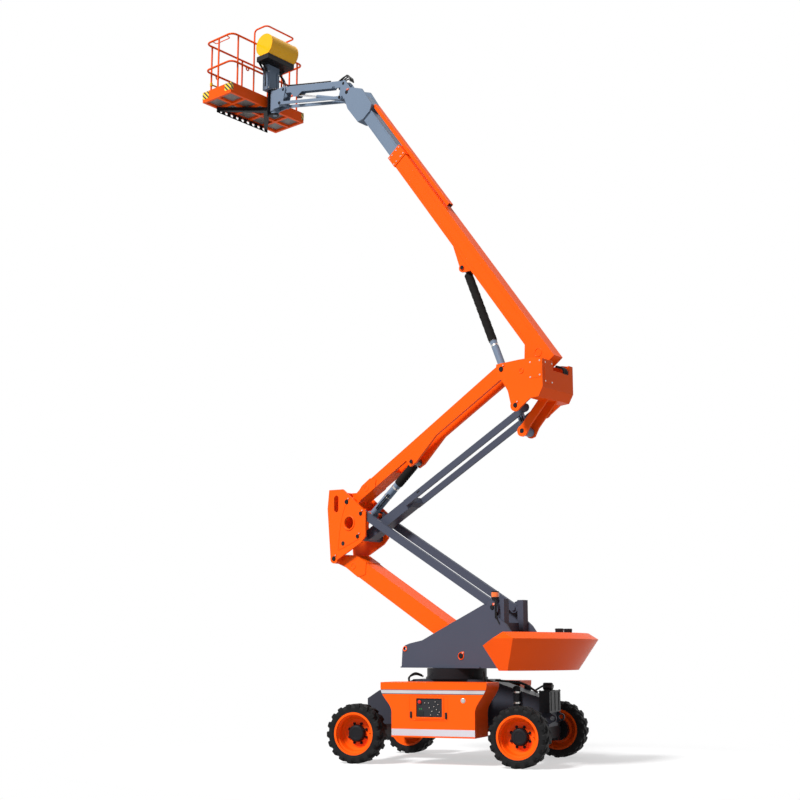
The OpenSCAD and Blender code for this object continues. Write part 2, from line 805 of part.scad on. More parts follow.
// Outline of the mid boom, x along and z across, from its foot pin
mid_foot_z0 = -45;
mid_foot_z1 = 132;
mid_head_z0 = 28;
mid_head_z1 = 245;
fork_x = 960;
upper_plate_v = 375;
upper_plate_t = 30;
upper_hub_v = upper_plate_v - gap;

function mid_outline(t) = [
    [110 + t, mid_foot_z0 + t], [mid_len - 240 - t, mid_head_z0 + t], [mid_len - 60, -70 + t],
    [mid_len - t, -60], [mid_len - t, 80], [mid_len - 130, mid_head_z1 - t], [mid_len - 260, mid_head_z1 - t],
    [260, mid_foot_z1 - t], [110 + t, 70]];

module mid_boom() {
    color(orange) slewed() right_member(q3, mid_angle) difference() {
        union() {
            across(-mid_half_w, mid_half_w) polygon(mid_outline(0));
            both_sides(fork_gap, mid_half_w) {
                polygon([[0, -80], [240, -44], [240, 120], [0, 80]]);
                polygon([riser_lug + [-94, 95], riser_lug + [-64, -55],
                         riser_lug + [56, -60], riser_lug + [626, 95]]);
                translate([mid_len, 0]) circle(r = riser_pin_r + hub_wall + 10);
            }
            across(-mid_half_w - collar_t, mid_half_w + collar_t)
                polygon([[140, -52], [520, -44], [600, 60], [500, 152], [290, 140], [140, 80]]);
            bar([0, 0], riser_pin_r + hub_wall, -mid_hub_v, mid_hub_v);
            bar_pair([mid_len, 0], riser_pin_r + hub_wall, fork_gap, upper_hub_v);
            bar_pair(riser_lug, 30, mid_half_w - 1, mid_half_w + 14);
        }
        across(riser_wall - mid_half_w, mid_half_w - riser_wall) intersection() {
            polygon(mid_outline(riser_wall));
            box2([0, -200], [fork_x - riser_wall, 400]);
        }
        across(-fork_gap, fork_gap) box2([fork_x, -400], [mid_len + 400, 600]);
        both_sides(fork_gap + riser_wall, mid_half_w - riser_wall) intersection() {
            polygon(mid_outline(riser_wall));
            box2([fork_x + riser_wall, -200], [mid_len - 200, 400]);
        }
        bar([0, 0], riser_pin_r + fit, -mid_hub_v - 1, mid_hub_v + 1);
        bar([mid_len, 0], riser_pin_r + fit, -upper_hub_v - 1, upper_hub_v + 1);
    }
}

link_thick = 82;
link_thin = 52;
link_step = 1130;
link_fork_v = 140;
link_fork_t = 30;
// Travel of the riser above its parked angle, and the tie rods' head pin as the link then sees it
riser_travel = 37.5;
link_notch = in_right(q2 - q4, mid_angle + riser_travel);
// Opening in the link's top for the riser cylinder's foot
link_slot = [link_notch.x - 130, link_notch.x + 290];
link_slot_half = fork_gap - 4;

module mid_link() {
    color(dark_grey) slewed() right_member(q4, mid_angle) difference() {
        union() {
            across(-fork_gap - 20, fork_gap + 20) polygon([
                [0, -link_thick + 20], [100, -link_thick], [link_step - 80, -link_thick],
                [link_step, -link_thin], [link_step, link_thin], [link_step - 80, link_thick],
                [100, link_thick], [0, link_thick - 20]]);
            across(-link_fork_v - link_fork_t, link_fork_v + link_fork_t)
                box2([link_step - 120, -link_thin], [link_step, link_thin]);
            both_sides(link_fork_v, link_fork_v + link_fork_t) {
                box2([link_step - 40, -link_thin], [mid_len, link_thin]);
                translate([mid_len, 0]) circle(r = link_pin_r + 30);
            }
            bar([0, 0], link_pin_r + 30, -mid_hub_v, mid_hub_v);
            bar_pair([mid_len, 0], link_pin_r + 25, link_fork_v, upper_hub_v);
        }
        across(riser_wall - fork_gap - 20, fork_gap + 20 - riser_wall)
            box2([110, riser_wall - link_thick], [link_step - 130, link_thick - riser_wall]);
        wide_block(link_slot[0], link_slot[1], link_slot_half, link_thick - 2 * riser_wall, link_thick + 1);
        bar(link_notch, link_pin_r + 8, -fork_gap - 21, fork_gap + 21);
        bar([0, 0], link_pin_r + fit, -mid_hub_v - 1, mid_hub_v + 1);
        bar([mid_len, 0], link_pin_r + fit, -upper_hub_v - 1, upper_hub_v + 1);
    }
}

gland_len = 60;
barrel_wall = 12;
piston_at = 0.6;
sleeve_gap = 2;

// A cylinder's barrel along +X from its foot eye, with a gland round the rod
module barrel_shape(len, r, eye_r, eye_v, pin_r, rod_r) {
    difference() {
        union() {
            bar([0, 0], eye_r, -eye_v, eye_v);
            rod_x(eye_r / 2, len, r);
        }
        rod_x(eye_r + 30, len - gland_len, r - barrel_wall);
        rod_x(eye_r + 30, len + 1, rod_r + fit);
        bar([0, 0], pin_r + fit, -eye_v - 1, eye_v + 1);
    }
}

// A cylinder's rod along +X with its eye
module rod_shape(barrel_len, len, rod_r, eye_r, eye_v) {
    color(steel) rod_x(barrel_len * piston_at, len - eye_r / 2, rod_r);
    color(dark_grey) bar([len, 0], eye_r, -eye_v, eye_v);
}

// The sleeve over a rod, closed at its end
module sleeve_shape(x0, x1, r) {
    color(black) difference() {
        rod_x(x0, x1, r + sleeve_gap + sleeve_wall);
        rod_x(x0 - 1, x1 - 20, r + sleeve_gap);
    }
}

riser_rod_r = 36;
lift_rod_r = 32;
jib_rod_r = 18;

module riser_barrel() {
    color(blue_grey) slewed() right_member(q2, riser_angle)
        barrel_shape(riser_barrel_len, riser_r, 60, fork_gap - 10, link_pin_r, riser_rod_r);
}

module riser_rod() {
    slewed() right_member(q2, riser_angle) {
        rod_shape(riser_barrel_len, riser_len, riser_rod_r, riser_eye_r, fork_gap - 10);
        sleeve_shape(riser_barrel_len - 40, riser_len - riser_eye_r - 20, riser_r);
    }
}

// Upper works

// Outline of the upper bracket's plates, from the mid boom's head pin
upper_outline = [
    [-89, 84], [-100, 0], [-30, -110], [115, -348], [170, -577], [262, -667], [330, -620], [507, -504],
    [657, -494], [735, -363], [736, 61], [556, 98], [323, 99]];
upper_lobe_r = 90;
lug_v = 98;
lug_t = 32;
notch_z = -80;
notch_far = 300;

module upper_bracket() {
    color(orange) slewed() translate([r3.x, 0, r3.y]) {
        difference() {
            union() {
                both_sides(upper_plate_v, upper_plate_v + upper_plate_t) {
                    polygon(upper_outline);
                    translate(link_offset) circle(r = upper_lobe_r);
                    circle(r = upper_lobe_r);
                }
                across(-upper_plate_v - 1, upper_plate_v + 1)
                    polygon([[507, -504], [657, -494], [735, -363], [736, 61], [716, 61], [716, -358],
                             [645, -474], [507, -484]]);
            }
            block([600, -base_half_w - 10, notch_z], [800, notch_far, 200]);
        }
        both_sides(lug_v, lug_v + lug_t) {
            polygon([[645, -490], [460, -490], [100, -880], [163, -1000], [230, -985], [300, -860]]);
            translate(lift_offset) circle(r = 85);
        }
        bar_pair([0, 0], riser_pin_r, fork_gap + 2, upper_plate_v + upper_plate_t);
        bar_pair(link_offset, link_pin_r, link_fork_v + 2, upper_plate_v + upper_plate_t);
        bar(main_offset, main_pin_r, -upper_plate_v - upper_plate_t, upper_plate_v + upper_plate_t);
        bar(lift_offset, 40, -lug_v - lug_t, lug_v + lug_t);
    }
}

heel = 170;
collar_len = 240;
collar_h = 12;
// Wear pads round the fly boom
pad_len = 110;
pad_half = 80;
lug_half = 72;
// Opening in the base boom's underside over the lift rod's eye
pocket_ahead = 175;
pocket_behind = 150;
main_hub_v = upper_plate_v - gap;
lift_sleeve_end = 110;

module base_boom() {
    color(orange) slewed() left_member(s1, main_angle) difference() {
        union() {
            wide_block(-base_len + collar_len - 1, heel, base_half_w, base_rise, base_rise + base_h);
            wide_block(-base_len, -base_len + collar_len, base_half_w + collar_h,
                       base_rise - collar_h, base_rise + base_h + collar_h);
            both_sides(base_half_w - 34, base_half_w) {
                polygon([[-330, base_rise + 2], [-95, 60], [-85, -30], [85, -30], [heel, base_rise + 2]]);
                circle(r = main_pin_r + hub_wall + 10);
            }
            both_sides(lug_half, lug_half + 28) {
                polygon([
                    [lift_lug.x + 165, base_rise + 2], lift_lug + [75, -27], lift_lug + [-75, -27],
                    [lift_lug.x - 455, base_rise + 2]]);
                translate(lift_lug) circle(r = 72);
            }
            bar_pair(lift_lug, 32, lug_half + 27, lug_half + 44);
            bar([0, 0], main_pin_r + hub_wall, -main_hub_v, main_hub_v);
        }
        wide_block(-base_len - 1, heel - boom_wall, base_half_w - boom_wall,
                   base_rise + boom_wall, base_rise + base_h - boom_wall);
        wide_block(lift_lug.x - pocket_ahead, lift_lug.x + pocket_behind, lug_half,
                   base_rise - 1, base_rise + boom_wall + 1);
        bar([0, 0], main_pin_r + fit, -main_hub_v - 1, main_hub_v + 1);
    }
    color(black) slewed() left_member(s1, main_angle) {
        both_sides(fly_half_w + fit, base_half_w - boom_wall + 1)
            box2([-base_len, fly_mid - pad_half], [-base_len + pad_len, fly_mid + pad_half]);
        wide_block(-base_len, -base_len + pad_len, pad_half, base_rise + boom_wall - 1, fly_z0 - fit);
        wide_block(-base_len, -base_len + pad_len, pad_half, fly_z0 + fly_h + fit,
                   base_rise + base_h - boom_wall + 1);
    }
}

module lift_barrel() {
    color(blue_grey) slewed() left_member(c1, lift_angle) mirror([1, 0, 0])
        barrel_shape(lift_barrel_len, lift_r, 68, lug_v - gap, 40, lift_rod_r);
}

module lift_rod() {
    slewed() left_member(c1, lift_angle) mirror([1, 0, 0]) {
        rod_shape(lift_barrel_len, lift_len, lift_rod_r, lift_eye_r, lug_half - gap);
        sleeve_shape(lift_barrel_len - 40, lift_len - lift_sleeve_end, lift_r);
    }
}

fly_z0 = fly_mid - fly_h / 2;
fly_end = base_len + fly_out;
fly_wall = 6;
fly_back = -base_len + fly_in;

module fly_boom() {
    slewed() left_member(s1, main_angle) {
        color(blue_grey) difference() {
            wide_block(-fly_end, fly_back, fly_half_w, fly_z0, fly_z0 + fly_h);
            wide_block(-fly_end - 1, fly_back + 1, fly_half_w - fly_wall,
                       fly_z0 + fly_wall, fly_z0 + fly_h - fly_wall);
        }
        color(black) {
            wide_block(fly_back - pad_len, fly_back, pad_half, base_rise + boom_wall + fit, fly_z0 + 1);
            wide_block(fly_back - pad_len, fly_back, pad_half, fly_z0 + fly_h - 1,
                       base_rise + base_h - boom_wall - fit);
        }
    }
}

head_plate = 25;
head_back = 60;

// Outline of the fly head's side plates, x along and z across, from the main pivot
head_outline = [
    [-fly_end + head_back, fly_mid - 90], [-fly_end + head_back, fly_mid + 90], [-fly_end, fly_mid + 190],
    [-fly_end - 420, fly_mid + 215], [-nose_reach - 60, fly_mid - nose_drop + 70],
    [-nose_reach - 60, fly_mid - nose_drop - 70], [-fly_end - 400, fly_mid - 220], [-fly_end, fly_mid - 210]];

module fly_head() {
    color(blue_grey) slewed() left_member(s1, main_angle) {
        both_sides(fly_half_w, fly_half_w + head_plate) union() {
            polygon(head_outline);
            translate([-nose_reach, fly_mid - nose_drop]) circle(r = 95);
        }
        wide_block(-fly_end - 16, -fly_end, fly_half_w + 1, fly_mid - 205, fly_mid + 185);
        wide_block(-fly_end - 260, -fly_end, fly_half_w + 1, fly_mid + 180, fly_mid + 194);
        wide_block(-fly_end - 160, -fly_end, fly_half_w + 1, fly_mid - 214, fly_mid - 200);
        bar([-nose_reach, fly_mid - nose_drop], 35, -fly_half_w - head_plate, fly_half_w + head_plate);
    }
}

tray_h = 60;
tray_half_w = 55;
tray_wall = 5;
tray_in = 1600;
tray_back = tray_in - base_len;
tray_lift = base_rise + base_h + collar_h + 10;

// The cable tray that rides out with the fly boom, above the base boom
module cable_tray() {
    color(orange) slewed() left_member(s1, main_angle) difference() {
        wide_block(-fly_end, tray_back, tray_half_w, tray_lift, tray_lift + tray_h);
        wide_block(-fly_end - 1, tray_back + 1, tray_half_w - tray_wall,
                   tray_lift + tray_wall, tray_lift + tray_h - tray_wall);
    }
}

// Nose and jib

nose_hub_v = fly_half_w - gap;

module nose_bracket() {
    color(blue_grey) slewed() translate([n1.x, 0, n1.y]) difference() {
        union() {
            both_sides(nose_gap, nose_gap + nose_plate) {
                polygon([[-60, -70], [70, -50], [75, 40], jib_offset + [70, 10], jib_offset + [20, 62],
                         jib_offset + [-45, 40], jib_offset + jib_link_offset + [-50, 30],
                         jib_offset + jib_link_offset + [-40, -45]]);
                translate(jib_offset) circle(r = 58);
                translate(jib_offset + jib_link_offset) circle(r = 50);
                circle(r = 75);
            }
            bar([0, 0], 68, -nose_hub_v, nose_hub_v);
            bar(jib_offset, jib_pin_r, -nose_gap - nose_plate, nose_gap + nose_plate);
            bar(jib_offset + jib_link_offset, jib_pin_r, -link_v1 - 10, link_v1 + 10);
        }
        bar([0, 0], 35 + fit, -nose_hub_v - 1, nose_hub_v + 1);
    }
}

link_v0 = nose_gap + nose_plate + 7;
link_w = 25;
link_v1 = link_v0 + link_w;
jib_half_w = nose_gap - gap;
jib_half_h = 60;
jib_wall = 14;
jib_tie_start = 40;
jib_tie_end = 150;
// Notch that clears the lower pin when the jib hangs down
jib_notch = [-260, -58];

// The jib's upper arm: two cheeks with room for the cylinder between them
module jib_arm() {
    color(blue_grey) slewed() left_member(j1, jib_angle) difference() {
        union() {
            both_sides(jib_half_w - jib_wall, jib_half_w) {
                box2([-jib_len, -jib_half_h], [0, jib_half_h]);
                polygon([
                    [jib_lug.x + 142, 1 - jib_half_h], jib_lug + [52, -45], jib_lug + [-53, -45],
                    [jib_lug.x - 138, 1 - jib_half_h]]);
                circle(r = jib_half_h);
                translate([-jib_len, 0]) circle(r = jib_half_h);
            }
            wide_block(-jib_tie_end, -jib_tie_start, jib_half_w - 1, jib_half_h - jib_wall, jib_half_h);
            wide_block(jib_tie_start - jib_len, jib_tie_end - jib_len, jib_half_w - 1,
                       jib_half_h - jib_wall, jib_half_h);
            for (x = [0, -jib_len])
                bar([x, 0], jib_pin_r + 18, -jib_half_w, jib_half_w);
        }
        for (x = [0, -jib_len])
            bar([x, 0], jib_pin_r + fit, -jib_half_w - 1, jib_half_w + 1);
        bar(jib_notch, jib_pin_r + 8, -jib_half_w - 1, jib_half_w + 1);
    }
}

module jib_links() {
    color(blue_grey) slewed() left_member(j2, jib_angle) difference() {
        both_sides(link_v0, link_v1) {
            box2([-jib_len, -27], [0, 27]);
            circle(r = jib_pin_r + 18);
            translate([-jib_len, 0]) circle(r = jib_pin_r + 18);
        }
        for (x = [0, -jib_len])
            bar([x, 0], jib_pin_r + fit, -link_v1 - 1, link_v1 + 1);
    }
}

module jib_barrel() {
    color(steel) slewed() left_member(j2, jib_cyl_angle) mirror([1, 0, 0])
        barrel_shape(jib_barrel_len, jib_cyl_r, jib_pin_r + 16, jib_half_w - jib_wall - gap, jib_pin_r,
                     jib_rod_r);
}

module jib_rod() {
    slewed() left_member(j2, jib_cyl_angle) mirror([1, 0, 0])
        rod_shape(jib_barrel_len, jib_cyl_len, jib_rod_r, jib_eye_r, jib_half_w - jib_wall - gap);
}

rot_z0 = plat_z - 180;
rot_z1 = plat_z + 260;
flange_t = 30;
shaft_r = 40;

module jib_head() {
    color(blue_grey) slewed() difference() {
        union() {
            both_sides(nose_gap, nose_gap + nose_plate) {
                polygon([[rot_u + 20, rot_z0 + 60], k2 + [30, -50], k2 + [50, 0], k1 + [58, 0], k1 + [10, 58],
                         [rot_u + 20, rot_z1 - 20]]);
                translate(k1) circle(r = 58);
                translate(k2) circle(r = 50);
            }
            translate([rot_u, 0, 0]) cylinder_span(rotator_r + 16, rot_z0 + 40, rot_z1 - 10);
            translate([rot_u, 0, 0]) cylinder_span(rotator_r, rot_z0, rot_z1);
            translate([rot_u, 0, 0])
                cylinder_span(shaft_r, rot_z0 - gap - flange_t, rot_z1 + gap + flange_t);
            bar(k1, jib_pin_r, -nose_gap - nose_plate, nose_gap + nose_plate);
            bar(k2, jib_pin_r, -link_v1 - 10, link_v1 + 10);
        }
    }
}

// Platform

back_u1 = rot_u - rotator_r - 16 - 8;
back_t = 24;
back_half_w = 85;
arm_half = 40;
arm_h = 70;
under_z = plat_z;
bar_span = 650;
bar_h = 100;
bar_t = 12;
bar_u = plat_u0 + 66;
bar_hole_r = 34;
bar_pitch = 138;

// The bracket round the rotator and the arms under the floor
module platform_support() {
    color(black) slewed() {
        for (z = [rot_z1 + gap, rot_z0 - gap - flange_t])
            difference() {
                union() {
                    translate([rot_u, 0, 0]) cylinder_span(rotator_r, z, z + flange_t);
                    block([back_u1, -back_half_w, z], [rot_u, back_half_w, z + flange_t]);
                }
                translate([rot_u, 0, 0]) cylinder_span(shaft_r + fit, z - 1, z + flange_t + 1);
            }
        block([back_u1 - back_t, -back_half_w, rot_z0 - gap - flange_t],
              [back_u1, back_half_w, rot_z1 + gap + flange_t]);
        block([plat_u1, -arm_half, under_z - arm_h], [back_u1 - back_t, arm_half, under_z]);
        translate([0, 0, under_z - arm_h]) linear_extrude(height = arm_h)
            for (side = [-1, 1]) polygon([
                [plat_u1 + 1, 0], [plat_u1 + 1, side * arm_half], [bar_u + 1, side * bar_span],
                [bar_u + 1, side * (bar_span - 2 * arm_half)], [plat_u1 - 3 * arm_half, 0]]);
        difference() {
            block([bar_u, -bar_span, under_z - bar_h], [bar_u + bar_t, bar_span, under_z]);
            for (i = [-4 : 4])
                translate([bar_u - 1, i * bar_pitch, under_z - bar_h / 2 - 4]) rotate([0, 90, 0])
                    cylinder(r = bar_hole_r, h = bar_t + 2);
        }
    }
}

tower_half_w = 150;
tower_deep = 130;
tower_wall = 5;
tower_z1 = plat_z + 885;

module platform_tower() {
    color(blue_grey) slewed() {
        difference() {
            block([plat_u1, -tower_half_w, rot_z1 + gap + flange_t],
                  [plat_u1 + tower_deep, tower_half_w, tower_z1]);
            block([plat_u1 + tower_wall, tower_wall - tower_half_w, rot_z1 + gap + flange_t + tower_wall],
                  [plat_u1 + tower_deep - tower_wall, tower_half_w - tower_wall, tower_z1 + 1]);
        }
    }
}

frame_tube = 50;

module platform_floor() {
    color(orange) slewed() translate([0, 0, plat_z]) {
        difference() {
            block([plat_u0, -plat_len / 2, 0], [plat_u1, plat_len / 2, frame_tube]);
            for (i = [0 : 1], j = [0 : 4])
                translate([plat_u0 + i * floor_step_u, j * floor_step_v - plat_len / 2, 0])
                    block([frame_tube, frame_tube, -1], [floor_step_u, floor_step_v, frame_tube - 5]);
        }
        difference() {
            block([plat_u0, -plat_len / 2, frame_tube - 1], [plat_u1, plat_len / 2, frame_tube + kick_h]);
            block([plat_u0 + kick_t, kick_t - plat_len / 2, frame_tube - 2],
                  [plat_u1 - kick_t, plat_len / 2 - kick_t, frame_tube + kick_h + 1]);
        }
    }
}

floor_step_u = (plat_depth - frame_tube) / 2;
floor_step_v = (plat_len - frame_tube) / 5;

kick_t = 5;
rail_wall = 4;
rail_du = plat_depth / 2 - kick_t - rail_r;
rail_dv = plat_len / 2 - kick_t - rail_r;

// A closed rail of radius r with round corners at height z
module rail_loop(z, r) {
    translate([plat_mid, 0, z]) {
        for (s = [-1, 1]) {
            translate([0, s * rail_dv, 0]) rotate([0, 90, 0])
                cylinder(r = r, h = 2 * (rail_du - rail_corner), center = true);
            translate([s * rail_du, 0, 0]) rotate([90, 0, 0])
                cylinder(r = r, h = 2 * (rail_dv - rail_corner), center = true);
        }
        for (a = [0, 1, 2, 3]) {
            su = a == 0 || a == 3 ? 1 : -1;
            sv = a < 2 ? 1 : -1;
            translate([su * (rail_du - rail_corner), sv * (rail_dv - rail_corner), 0])
                rotate([0, 0, a * 90]) rotate_extrude(angle = 90)
                    translate([rail_corner, 0]) circle(r = r);
        }
    }
}

// The posts between floor and top rail
module rail_posts(r, z0) {
    for (su = [-1, 1], sv = [-1, 0, 1])
        translate([plat_mid + su * rail_du, sv * post_v, 0]) cylinder_span(r, z0, top_rail_z);
    for (sv = [-1, 1])
        translate([plat_mid, sv * rail_dv, 0]) cylinder_span(r, z0, top_rail_z);
}

post_inset = 150;
mid_rail_z = plat_z + 640;
top_rail_z = plat_top - rail_r;
post_foot = plat_z + frame_tube;
post_r = rail_r - 2;
post_v = rail_dv - post_inset;

guard_r = 16;
guard_bend = 70;
guard_half = 360;
guard_top = top_rail_z + 250;
guard_u0 = plat_mid + rail_du;
guard_u1 = plat_u1 + 300;

// The hoop that guards the controls: two uprights, two arms and a bar, joined by bends
module guard_hoop() {
    for (side = [-1, 1]) {
        translate([guard_u0, side * guard_half, 0])
            cylinder_span(guard_r, top_rail_z, guard_top - guard_bend);
        translate([guard_u0 + guard_bend, side * guard_half, guard_top - guard_bend]) rotate([90, -90, 0])
            rotate_extrude(angle = 90) translate([guard_bend, 0]) circle(r = guard_r);
        translate([0, side * guard_half, guard_top])
            rod_x(guard_u0 + guard_bend, guard_u1 - guard_bend, guard_r);
        translate([guard_u1 - guard_bend, side * (guard_half - guard_bend), guard_top])
            rotate([0, 0, side > 0 ? 0 : -90])
                rotate_extrude(angle = 90) translate([guard_bend, 0]) circle(r = guard_r);
    }
    bar([guard_u1, guard_top], guard_r, guard_bend - guard_half, guard_half - guard_bend);
}

module platform_rails() {
    color(orange) slewed() difference() {
        union() {
            rail_loop(top_rail_z, rail_r);
            rail_loop(mid_rail_z, rail_r);
            rail_posts(post_r, post_foot);
            guard_hoop();
        }
        rail_loop(top_rail_z, rail_r - rail_wall);
        rail_loop(mid_rail_z, rail_r - rail_wall);
        rail_posts(post_r - rail_wall, post_foot - 1);
    }
}

entry_z = plat_z + 420;
entry_r = 15;
collar_half = 30;
collar_r = post_r + 9;

// The sliding bar across the entry, with a collar round the post at each end
module entry_bar() {
    color(yellow) slewed() translate([plat_mid - rail_du, 0, entry_z]) difference() {
        union() {
            translate([0, -post_v, 0]) rotate([-90, 0, 0]) cylinder(r = entry_r, h = post_v);
            for (v = [-post_v, 0])
                translate([0, v, 0]) cylinder_span(collar_r, -collar_half, collar_half);
        }
        for (v = [-post_v, 0])
            translate([0, v, 0]) cylinder_span(post_r, -collar_half - 1, collar_half + 1);
    }
}

cover_roll_r = 215;
cover_roll_half = 342;
roll_wall = 5;
cover_roll_u = plat_u1 + cover_roll_r + gap;
cover_roll_z = tower_z1 + cover_roll_r - 25;

// The rolled cover over the platform's controls, flat where it sits on the tower
module control_cover() {
    color(yellow) slewed() difference() {
        bar([cover_roll_u, cover_roll_z], cover_roll_r, -cover_roll_half, cover_roll_half);
        bar([cover_roll_u, cover_roll_z], cover_roll_r - roll_wall,
            roll_wall - cover_roll_half, cover_roll_half - roll_wall);
        block([plat_u1, -cover_roll_half - 1, tower_z1 - 2 * cover_roll_r],
              [plat_u1 + 3 * cover_roll_r, cover_roll_half + 1, tower_z1]);
    }
}

lamp_v = 520;
clamp_half = 22;
lamp_stem = 70;

module work_lamp() {
    color(black) slewed() translate([plat_mid + rail_du, lamp_v, top_rail_z]) {
        difference() {
            translate([0, -clamp_half, 0]) rotate([-90, 0, 0]) cylinder(r = rail_r + 9, h = 2 * clamp_half);
            translate([0, -clamp_half - 1, 0]) rotate([-90, 0, 0])
                cylinder(r = rail_r, h = 2 * clamp_half + 2);
        }
        cylinder_span(10, rail_r + 2, rail_r + lamp_stem + 1);
        block([-30, -45, rail_r + lamp_stem], [30, 45, rail_r + lamp_stem + 95]);
    }
}

chassis_frame();
axle_fixed();
axle_steer();
cover_near();
cover_far();
ground_panel();
engine_block();
slew_ring();
knuckle_near();
knuckle_far();
tyre_fixed_near();
tyre_fixed_far();
tyre_steer_near();
tyre_steer_far();
rim_fixed_near();
rim_fixed_far();
rim_steer_near();
rim_steer_far();
turntable();
counterweight();
beacon();
lower_boom();
tie_rods();
mid_bracket();
mid_boom();
mid_link();
riser_barrel();
riser_rod();
upper_bracket();
base_boom();
lift_barrel();
lift_rod();
fly_boom();
fly_head();
cable_tray();
nose_bracket();
jib_arm();
jib_links();
jib_barrel();
jib_rod();
jib_head();
platform_support();
platform_tower();
platform_floor();
platform_rails();
entry_bar();
control_cover();
work_lamp();
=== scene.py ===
"""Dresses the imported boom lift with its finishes, tyres, stripes, pins, hoses and trim."""

import logging
import math
from dataclasses import dataclass
from enum import Enum
from itertools import product
from typing import Any

import bpy
import numpy as np
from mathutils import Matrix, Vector


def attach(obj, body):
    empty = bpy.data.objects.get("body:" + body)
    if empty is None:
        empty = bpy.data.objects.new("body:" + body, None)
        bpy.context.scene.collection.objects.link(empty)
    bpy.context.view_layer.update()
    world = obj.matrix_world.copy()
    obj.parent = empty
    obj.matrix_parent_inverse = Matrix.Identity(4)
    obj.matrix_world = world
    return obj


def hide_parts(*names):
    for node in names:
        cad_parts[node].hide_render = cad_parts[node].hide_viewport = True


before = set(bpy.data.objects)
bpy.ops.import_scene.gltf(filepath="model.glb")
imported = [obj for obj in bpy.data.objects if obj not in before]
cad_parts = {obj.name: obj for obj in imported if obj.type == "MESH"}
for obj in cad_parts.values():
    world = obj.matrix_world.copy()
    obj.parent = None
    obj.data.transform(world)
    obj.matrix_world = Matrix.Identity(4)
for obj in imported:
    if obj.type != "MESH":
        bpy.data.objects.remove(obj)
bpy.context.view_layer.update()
log = logging.getLogger("boom_lift")

SLEW = math.radians(-19.07)
U_AXIS = np.array([math.cos(SLEW), math.sin(SLEW), 0.0])
V_AXIS = np.array([-math.sin(SLEW), math.cos(SLEW), 0.0])
X_AXIS, Y_AXIS, Z_AXIS = np.eye(3)
OFF_AXIS = np.array([0.013, 0.017, 0.011])  # keeps a sweep's reference off the path
SIDES = (-1, 1)
SUNK = 0.001  # depth of a trim piece's back in what it lies on
FAR = 99.0  # a limit beyond the machine
BEVEL_ABOVE = math.radians(40)
WHITE = (1, 1, 1, 1)
SEEN = ("Is Camera Ray", "Is Glossy Ray", "Is Transmission Ray")


def along_pins(foot: tuple, head: tuple) -> tuple:
    """Direction of a rod between two pins of the upper works, and its head's distance along that direction.

    Args:
        foot: the foot pin's place along the upper works and its height.
        head: the head pin's.
    Returns:
        The direction and the distance from the row frame's origin.
    """
    ends = [u * U_AXIS + z * Z_AXIS for u, z in (foot, head)]
    way = (ends[1] - ends[0]) / np.linalg.norm(ends[1] - ends[0])
    return way, float(ends[1] @ way)


# Pins of the upper works: place along them and height
LOWER_PIN = (0.346, 1.520)
BRACKET_PIN = (-2.2983, 3.0776)
MID_PIN = (-2.0253, 3.9866)
LINK_PIN = (-1.7793, 3.4096)
UPPER_PIN = (1.2002, 5.7205)
MAIN_PIN = (1.4292, 5.6995)
JIB_PIN = (-2.3793, 11.464)
LIFT_PINS = ((1.3632, 4.8055), (0.2557, 7.5493))
RISER_PINS = ((-1.7153, 3.7746), (-0.7789, 4.5488))
JIB_PINS = ((-2.4363, 11.204), (-3.5942, 11.6288))

MID_RISE = 28.26
MAIN_DEGREES = 53.5
MAIN_RISE = math.radians(MAIN_DEGREES)
MAIN_X = math.cos(MAIN_RISE) * U_AXIS - math.sin(MAIN_RISE) * Z_AXIS
MAIN_Z = math.sin(MAIN_RISE) * U_AXIS + math.cos(MAIN_RISE) * Z_AXIS
MAIN_AT = tuple(float((MAIN_PIN[0] * U_AXIS + MAIN_PIN[1] * Z_AXIS) @ way) for way in (MAIN_X, MAIN_Z))
BROW_Z = (0.985, 1.048)
ORANGE_TONE = (0.95, 0.098, 0.003)
BLACK_TONE = (0.010, 0.010, 0.012)


# Shader expressions

class Wire:
    """A node socket that takes part in arithmetic; each operation adds a Math node."""

    def __init__(self, shader: "Nodes", socket: Any) -> None:
        """Keep the tree and the socket."""
        self.shader = shader
        self.socket = socket

    def _math(self, operation: str, a: Any, b: Any = 0.0) -> "Wire":
        """Add one Math node.

        Args:
            operation: Blender's name of the operation.
            a: first value or wire.
            b: second value or wire.
        Returns:
            The node's result.
        """
        return self.shader.node("ShaderNodeMath", {"operation": operation}, {0: a, 1: b})

    def __add__(self, other: Any) -> "Wire":
        """Sum."""
        return self._math("ADD", self, other)

    __radd__ = __add__

    def __sub__(self, other: Any) -> "Wire":
        """Difference."""
        return self._math("SUBTRACT", self, other)

    def __rsub__(self, other: Any) -> "Wire":
        """Difference from a number."""
        return self._math("SUBTRACT", other, self)

    def __mul__(self, other: Any) -> "Wire":
        """Product."""
        return self._math("MULTIPLY", self, other)

    __rmul__ = __mul__

    def __truediv__(self, other: Any) -> "Wire":
        """Quotient."""
        return self._math("DIVIDE", self, other)

    def __gt__(self, other: Any) -> "Wire":
        """1 where this is the greater."""
        return self._math("GREATER_THAN", self, other)

    def __lt__(self, other: Any) -> "Wire":
        """1 where this is the smaller."""
        return self._math("LESS_THAN", self, other)

    def most(self, other: Any) -> "Wire":
        """The greater of two values."""
        return self._math("MAXIMUM", self, other)

    def fraction(self) -> "Wire":
        """The part after the point."""
        return self._math("FRACT", self)

    def size(self) -> "Wire":
        """The value without its sign."""
        return self._math("ABSOLUTE", self)

    def step(self, low: float, high: float) -> "Wire":
        """A smooth rise from 0 at low to 1 at high."""
        return self.shader.node("ShaderNodeMapRange", {"interpolation_type": "SMOOTHSTEP"},
                                {"Value": self, "From Min": low, "From Max": high})


